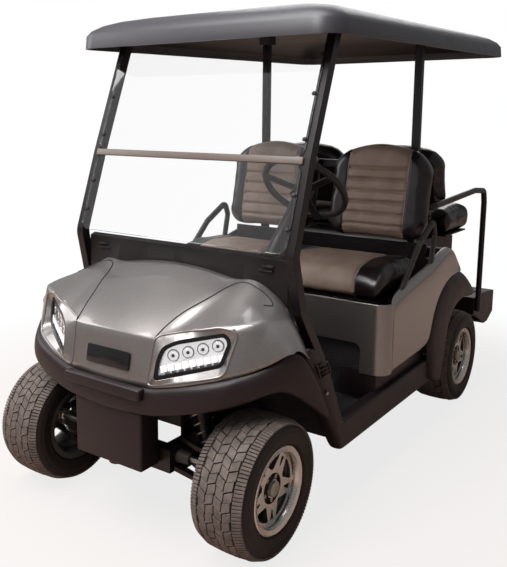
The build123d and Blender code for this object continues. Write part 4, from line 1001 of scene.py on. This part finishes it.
# Black liners close the gap behind each side panel and its corner down to the rocker, and
# a splash shield hangs under the front of the floor.
rear_axle_y = front_axle_y + wheelbase
liners = bmesh.new()
for wide, long, tall, x, y, z in ((0.004, 0.470, 0.112, 0.547, rear_axle_y - 0.720, 0.357),
                                  (0.160, 0.004, 0.112, 0.470, rear_axle_y - 0.955, 0.357),
                                  (0.300, 0.004, 0.110, 0.150, front_axle_y + 0.285, 0.300)):
    for way in (-1, 1):
        add_block(liners, (wide, long, tall), (way * x, y, z))
roll_edges(liners, 0.0012, 2)
add_piece("sill_liners", liners, [black_tpo], "black_moulding")

# ---- rear body, footrest, pans and pedals ----
# The black rear tub, the footrest, the seat pans and the pedals are grained mouldings and
# pressings, and the footrest carries ribs of rubber tread.
for node in ("rear_body", "footrest"):
    rounded_node(node, node + "_moulding", black_tpo, "black_moulding", 0.004, 3, 40)
finish_nodes(black_abs, "front_seat_pan", "rear_seat_pan", "pedals", "battery_pack")
finish_nodes(powder_coat, "steering_column")

low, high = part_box("footrest")
treads = bmesh.new()
for i in range(9):
    add_block(treads, (high.x - low.x - 0.09, 0.011, 0.005),
              (0, low.y + 0.030 + i * 0.016, high.z + 0.001))
roll_edges(treads, 0.0015, 2)
add_piece("footrest_treads", treads, [rubber], "black_moulding")

# ---- tail lights ----
# Red acrylic lenses with ribs moulded inside, one let into each end of the rear wall and
# welded round its edge to a housing.
red_acrylic, tree, place = new_material("moulded_red_acrylic", "#8c0f12", 0.15)
# Deep red and glossy, with prism ribs 6 mm apart that catch the light.
prisms = add_node(tree, "TexWave", {"bands_direction": "Z"}, Vector=place, Scale=1 / 0.019)
add_node(tree, "Bump", to="Normal", Strength=0.7, Distance=0.001, Height=prisms.outputs["Fac"])
rounded_node("tail_lights", "tail_light_lenses", red_acrylic, "tail_lens", 0.005, 3, 40)

# ---- hip restraints ----
# Flat loops beside the front seat, moulded in glass-filled nylon, that stop a rider from
# sliding off. Each is bolted to the seat box at its two ends.
nylon, tree, place = new_material("glass_filled_nylon", "#151011", 0.5)
# Glass-filled nylon is a greyish satin black with fine flow marks of 8 mm.
flow = add_node(tree, "TexNoise", Vector=place, Scale=1 / 0.008, Detail=3.0)
add_node(tree, "MapRange", to="Roughness", Value=flow, To_Min=0.4, To_Max=0.6)
rounded_node("hip_restraints", "hip_loops", nylon, "black_moulding", 0.002, 2, 34, smooth=34,
             flat=0.1)

# ---- seats ----
# Foam pads in stretched vinyl over moulded shells: tan centres sewn in cross channels,
# between black bolsters, with a pale piping cord along each long seam.
black_vinyl, tree, place = new_material("black_marine_vinyl", "#1b1215", 0.33)
# Marine vinyl: a soft gloss over a fine leather grain, drawn 2 mm coarse.
grain = add_node(tree, "TexVoronoi", Vector=place, Scale=1 / 0.002)
add_node(tree, "Bump", to="Normal", Strength=0.18, Distance=0.0003, Height=grain)
rub = add_node(tree, "TexNoise", Vector=place, Scale=1 / 0.05, Detail=3.0)
add_node(tree, "MapRange", to="Roughness", Value=rub, To_Min=0.25, To_Max=0.38)

tan_vinyl, tree, place = new_material("tan_marine_vinyl", "#8a7466", 0.5)
# The tan is duller, with rubbed patches about 80 mm across where people sit.
rub = add_node(tree, "TexNoise", Vector=place, Scale=1 / 0.08, Detail=4.0)
tones = add_node(tree, "ValToRGB", to="Base Color", Fac=rub)
for stop, position, colour in zip(tones.color_ramp.elements, (0.3, 0.7), ("#7d695d", "#948073")):
    stop.position, stop.color = position, linear(colour)
grain = add_node(tree, "TexVoronoi", Vector=place, Scale=1 / 0.002)
add_node(tree, "Bump", to="Normal", Strength=0.2, Distance=0.0003, Height=grain)

piping_vinyl, tree, place = new_material("grey_vinyl_piping", "#8f8680", 0.4)
# Thin welt of light grey vinyl over cord, slightly soiled in 10 mm patches.
soil = add_node(tree, "TexNoise", Vector=place, Scale=1 / 0.01, Detail=2.0)
add_node(tree, "MapRange", to="Roughness", Value=soil, To_Min=0.35, To_Max=0.55)


def plump(mesh, cap, pressure=4.0):
    """Fills a pad like foam under its cover: remesh, cloth under pressure, cap, subdivide."""
    scene = bpy.context.scene
    pad = bpy.data.objects.new("pad", bpy.data.meshes.new("pad"))
    mesh.to_mesh(pad.data)
    mesh.free()
    scene.collection.objects.link(pad)
    remesh = pad.modifiers.new("remesh", "REMESH")
    remesh.mode = "VOXEL"
    remesh.voxel_size = 0.006
    bpy.context.view_layer.update()
    rest = [v.co.copy() for v in settle(pad).vertices]
    cloth_steps = 20
    cloth = pad.modifiers.new("cloth", "CLOTH")
    cloth.settings.use_pressure = True
    cloth.settings.uniform_pressure_force = pressure
    cloth.settings.effector_weights.gravity = 0
    cloth.point_cache.frame_start, cloth.point_cache.frame_end = 1, cloth_steps
    for step in range(1, cloth_steps + 1):
        scene.frame_set(step)
    settle(pad)
    scene.frame_set(1)
    for vert, start in zip(pad.data.vertices, rest):
        move = vert.co - start
        if move.length > cap:
            vert.co = start + move.normalized() * cap
    filled = bmesh.new()
    filled.from_mesh(pad.data)
    for _ in range(12):
        bmesh.ops.smooth_vert(filled, verts=filled.verts, factor=0.5, use_axis_x=True,
                              use_axis_y=True, use_axis_z=True)
    filled.to_mesh(pad.data)
    filled.clear()
    smooth = pad.modifiers.new("smooth", "SUBSURF")
    smooth.levels = smooth.render_levels = 1
    bpy.context.view_layer.update()
    settle(pad)
    filled.from_mesh(pad.data)
    bpy.data.objects.remove(pad)
    return filled


def dent(off, depth, width):
    """How far a sewn line pulls a cover down, at a distance off the line."""
    return depth * 2.718 ** -(off / width) ** 2


# The depth and width of each kind of sewn line, and how far the piping stands off its seam.
seam_dent, back_channel, seat_channel = (0.007, 0.006), (0.0095, 0.0065), (0.006, 0.006)
seam_lift = 0.0008


def backrest(width, height, thick, arch, lean, foot, panel, channels, towards):
    """One padded backrest about its foot: mesh in place at x 0, and its seams."""
    mesh = bmesh.new()
    add_block(mesh, (width - 0.030, thick - 0.030, height - 0.024), (0, 0, 0))
    roll_edges(mesh, 0.085, 8, edges=edges_along_y(mesh))
    roll_edges(mesh, 0.020, 3, 1.2)
    bmesh.ops.subdivide_edges(mesh, edges=[e for e in mesh.edges if e.calc_length() > 0.1],
                              cuts=8, use_grid_fill=True)
    for v in mesh.verts:
        rise = max(0.0, v.co.z) / (height / 2)
        v.co.z -= arch * rise * (2 * v.co.x / width) ** 2
    mesh = plump(mesh, 0.016)
    for v in mesh.verts:
        sunk = dent(abs(v.co.x) - panel, *seam_dent)
        if abs(v.co.x) < panel:
            sunk += sum(dent(v.co.z - w, *back_channel) for w in channels)
        v.co.y -= towards * sunk * max(0.0, v.co.y * towards / (thick / 2))
    surface = BVHTree.FromBMesh(mesh)
    for face in mesh.faces:
        middle = face.calc_center_median()
        face.material_index = 0 if abs(middle.x) < panel and middle.y * towards > -0.012 else 1
        face.smooth = True
    seam_top = height - 0.030 - arch * (2 * panel / width) ** 2
    out = Vector((0, towards, 0))
    seams = []
    for side in (-1, 1):
        hits = [surface.ray_cast(Vector((side * panel, towards * 0.4,
                                         -height / 2 + 0.012 + i * seam_top / 14)), -out)[0]
                for i in range(15)]
        seams.append([hit + out * seam_lift for hit in hits if hit])
    place = placed(foot, lean) @ placed((0, -towards * thick / 2, height / 2))
    bmesh.ops.transform(mesh, verts=mesh.verts, matrix=place)
    return mesh, [[place @ p for p in seam] for seam in seams]


def upholster(name, ending, mesh, seams, node, body="chassis"):
    """Adds a padded mesh, and the piping along its seams."""
    pads = add_piece(name + ending, mesh, [tan_vinyl, black_vinyl], "black_vinyl", node,
                     body=body, smooth=None)
    add_piece(name + "_piping", round_line(seams, 0.0035), [piping_vinyl], "tan_vinyl",
              body=body, smooth=60)


for row, apart, shape in (
        ("front", 0.286, dict(width=0.530, height=0.480, thick=0.114, arch=0.090, lean=-11,
                              foot=Vector((0, rear_axle_y - 0.500, 0.852)), panel=0.148,
                              channels=[-0.165, -0.113, -0.061, -0.009, 0.043, 0.095],
                              towards=-1)),
        ("rear", 0.263, dict(width=0.490, height=0.368, thick=0.102, arch=0.062, lean=11,
                             foot=Vector((0, rear_axle_y - 0.012, 0.950)), panel=0.150,
                             channels=[-0.110, -0.060, -0.010, 0.040], towards=1))):
    mesh, seams = backrest(**shape)
    bmesh.ops.translate(mesh, verts=mesh.verts, vec=(apart, 0, 0))
    mirror_across(mesh)
    seams = [[Vector((side * (p.x + apart), p.y, p.z)) for p in seam]
             for seam in seams for side in (-1, 1)]
    upholster(row + "_backrest", "_pads", mesh, seams, row + "_backrests")


def bench(half, section, panel, channels, base, inside, towards):
    """A bench cushion and its seams: its side view run across, filled, sewn and flat below."""
    mesh = bmesh.new()
    side = mesh.faces.new([mesh.verts.new((-half, rear_axle_y + s / 1000, z / 1000))
                           for s, z in section])
    move_made(mesh, bmesh.ops.extrude_face_region(mesh, geom=[side]), (2 * half, 0, 0))
    bmesh.ops.recalc_face_normals(mesh, faces=mesh.faces)
    roll_edges(mesh, 0.016, 3, 0.5)
    mesh = plump(mesh, 0.014)
    inner, outer = panel
    for v in mesh.verts:
        if v.normal.z > -0.3:
            sunk = dent(abs(v.co.x) - inner, *seam_dent) + dent(abs(v.co.x) - outer, *seam_dent)
            if v.normal.z > 0.3 and inner < abs(v.co.x) < outer:
                sunk += sum(dent(v.co.y - rear_axle_y - s / 1000, *seat_channel)
                            for s in channels)
            v.co -= v.normal * sunk
        v.co.z = max(v.co.z, base)
    surface = BVHTree.FromBMesh(mesh)
    for face in mesh.faces:
        middle = face.calc_center_median()
        face.material_index = 0 if (inner < abs(middle.x) < outer and middle.z > base + 0.006
                                    and (face.normal.z > 0.2
                                         or face.normal.y * towards > 0.3)) else 1
        face.smooth = True
    first_turn, whole_turn, rays = -22, 172, 18
    turns = [radians(first_turn + i * (whole_turn / rays)) for i in range(rays + 1)]
    seams = []
    for x in panel:
        for way in (-1, 1):
            hits = [(surface.ray_cast(Vector((way * x, *inside)), ray)[0], ray)
                    for ray in (Vector((0, cos(turn) * towards, sin(turn))) for turn in turns)]
            seams.append([hit + ray * seam_lift for hit, ray in hits if hit])
    return mesh, seams


for row, shape in (
        ("front", dict(half=0.534, section=[(-928, 694), (-917, 752), (-874, 790), (-760, 812),
                                            (-570, 802), (-518, 792), (-518, 694)],
                       panel=(0.085, 0.415), channels=[-560, -610, -660, -712], base=0.6835,
                       inside=(rear_axle_y - 0.780, 0.730), towards=-1)),
        ("rear", dict(half=0.480, section=[(2, 842), (318, 842), (326, 862), (318, 934),
                                           (272, 958), (0, 944), (2, 912)],
                      panel=(0.085, 0.380), channels=[60, 110, 160], base=0.8325,
                      inside=(rear_axle_y + 0.150, 0.870), towards=1))):
    mesh, seams = bench(**shape)
    upholster(row + "_seat", "_pad", mesh, seams, row + "_seat_cushion", row + "_seat")

# ---- steering wheel ----
# A steel hoop moulded over in soft black urethane, on three flat spokes and a blank round
# hub, which a nut holds on the column.
urethane, tree, place = new_material("moulded_urethane_grip", "#161112", 0.5)
# Self-skinned urethane: satin, with the mould's leather grain of 2 mm.
grain = add_node(tree, "TexVoronoi", Vector=place, Scale=1 / 0.002)
add_node(tree, "Bump", to="Normal", Strength=0.3, Distance=0.0003, Height=grain)
rounded_node("steering_wheel", "steering_wheel_moulding", urethane, "wheel_grip", 0.002, 2,
             34, smooth=34, flat=0.1, body="steering_wheel")
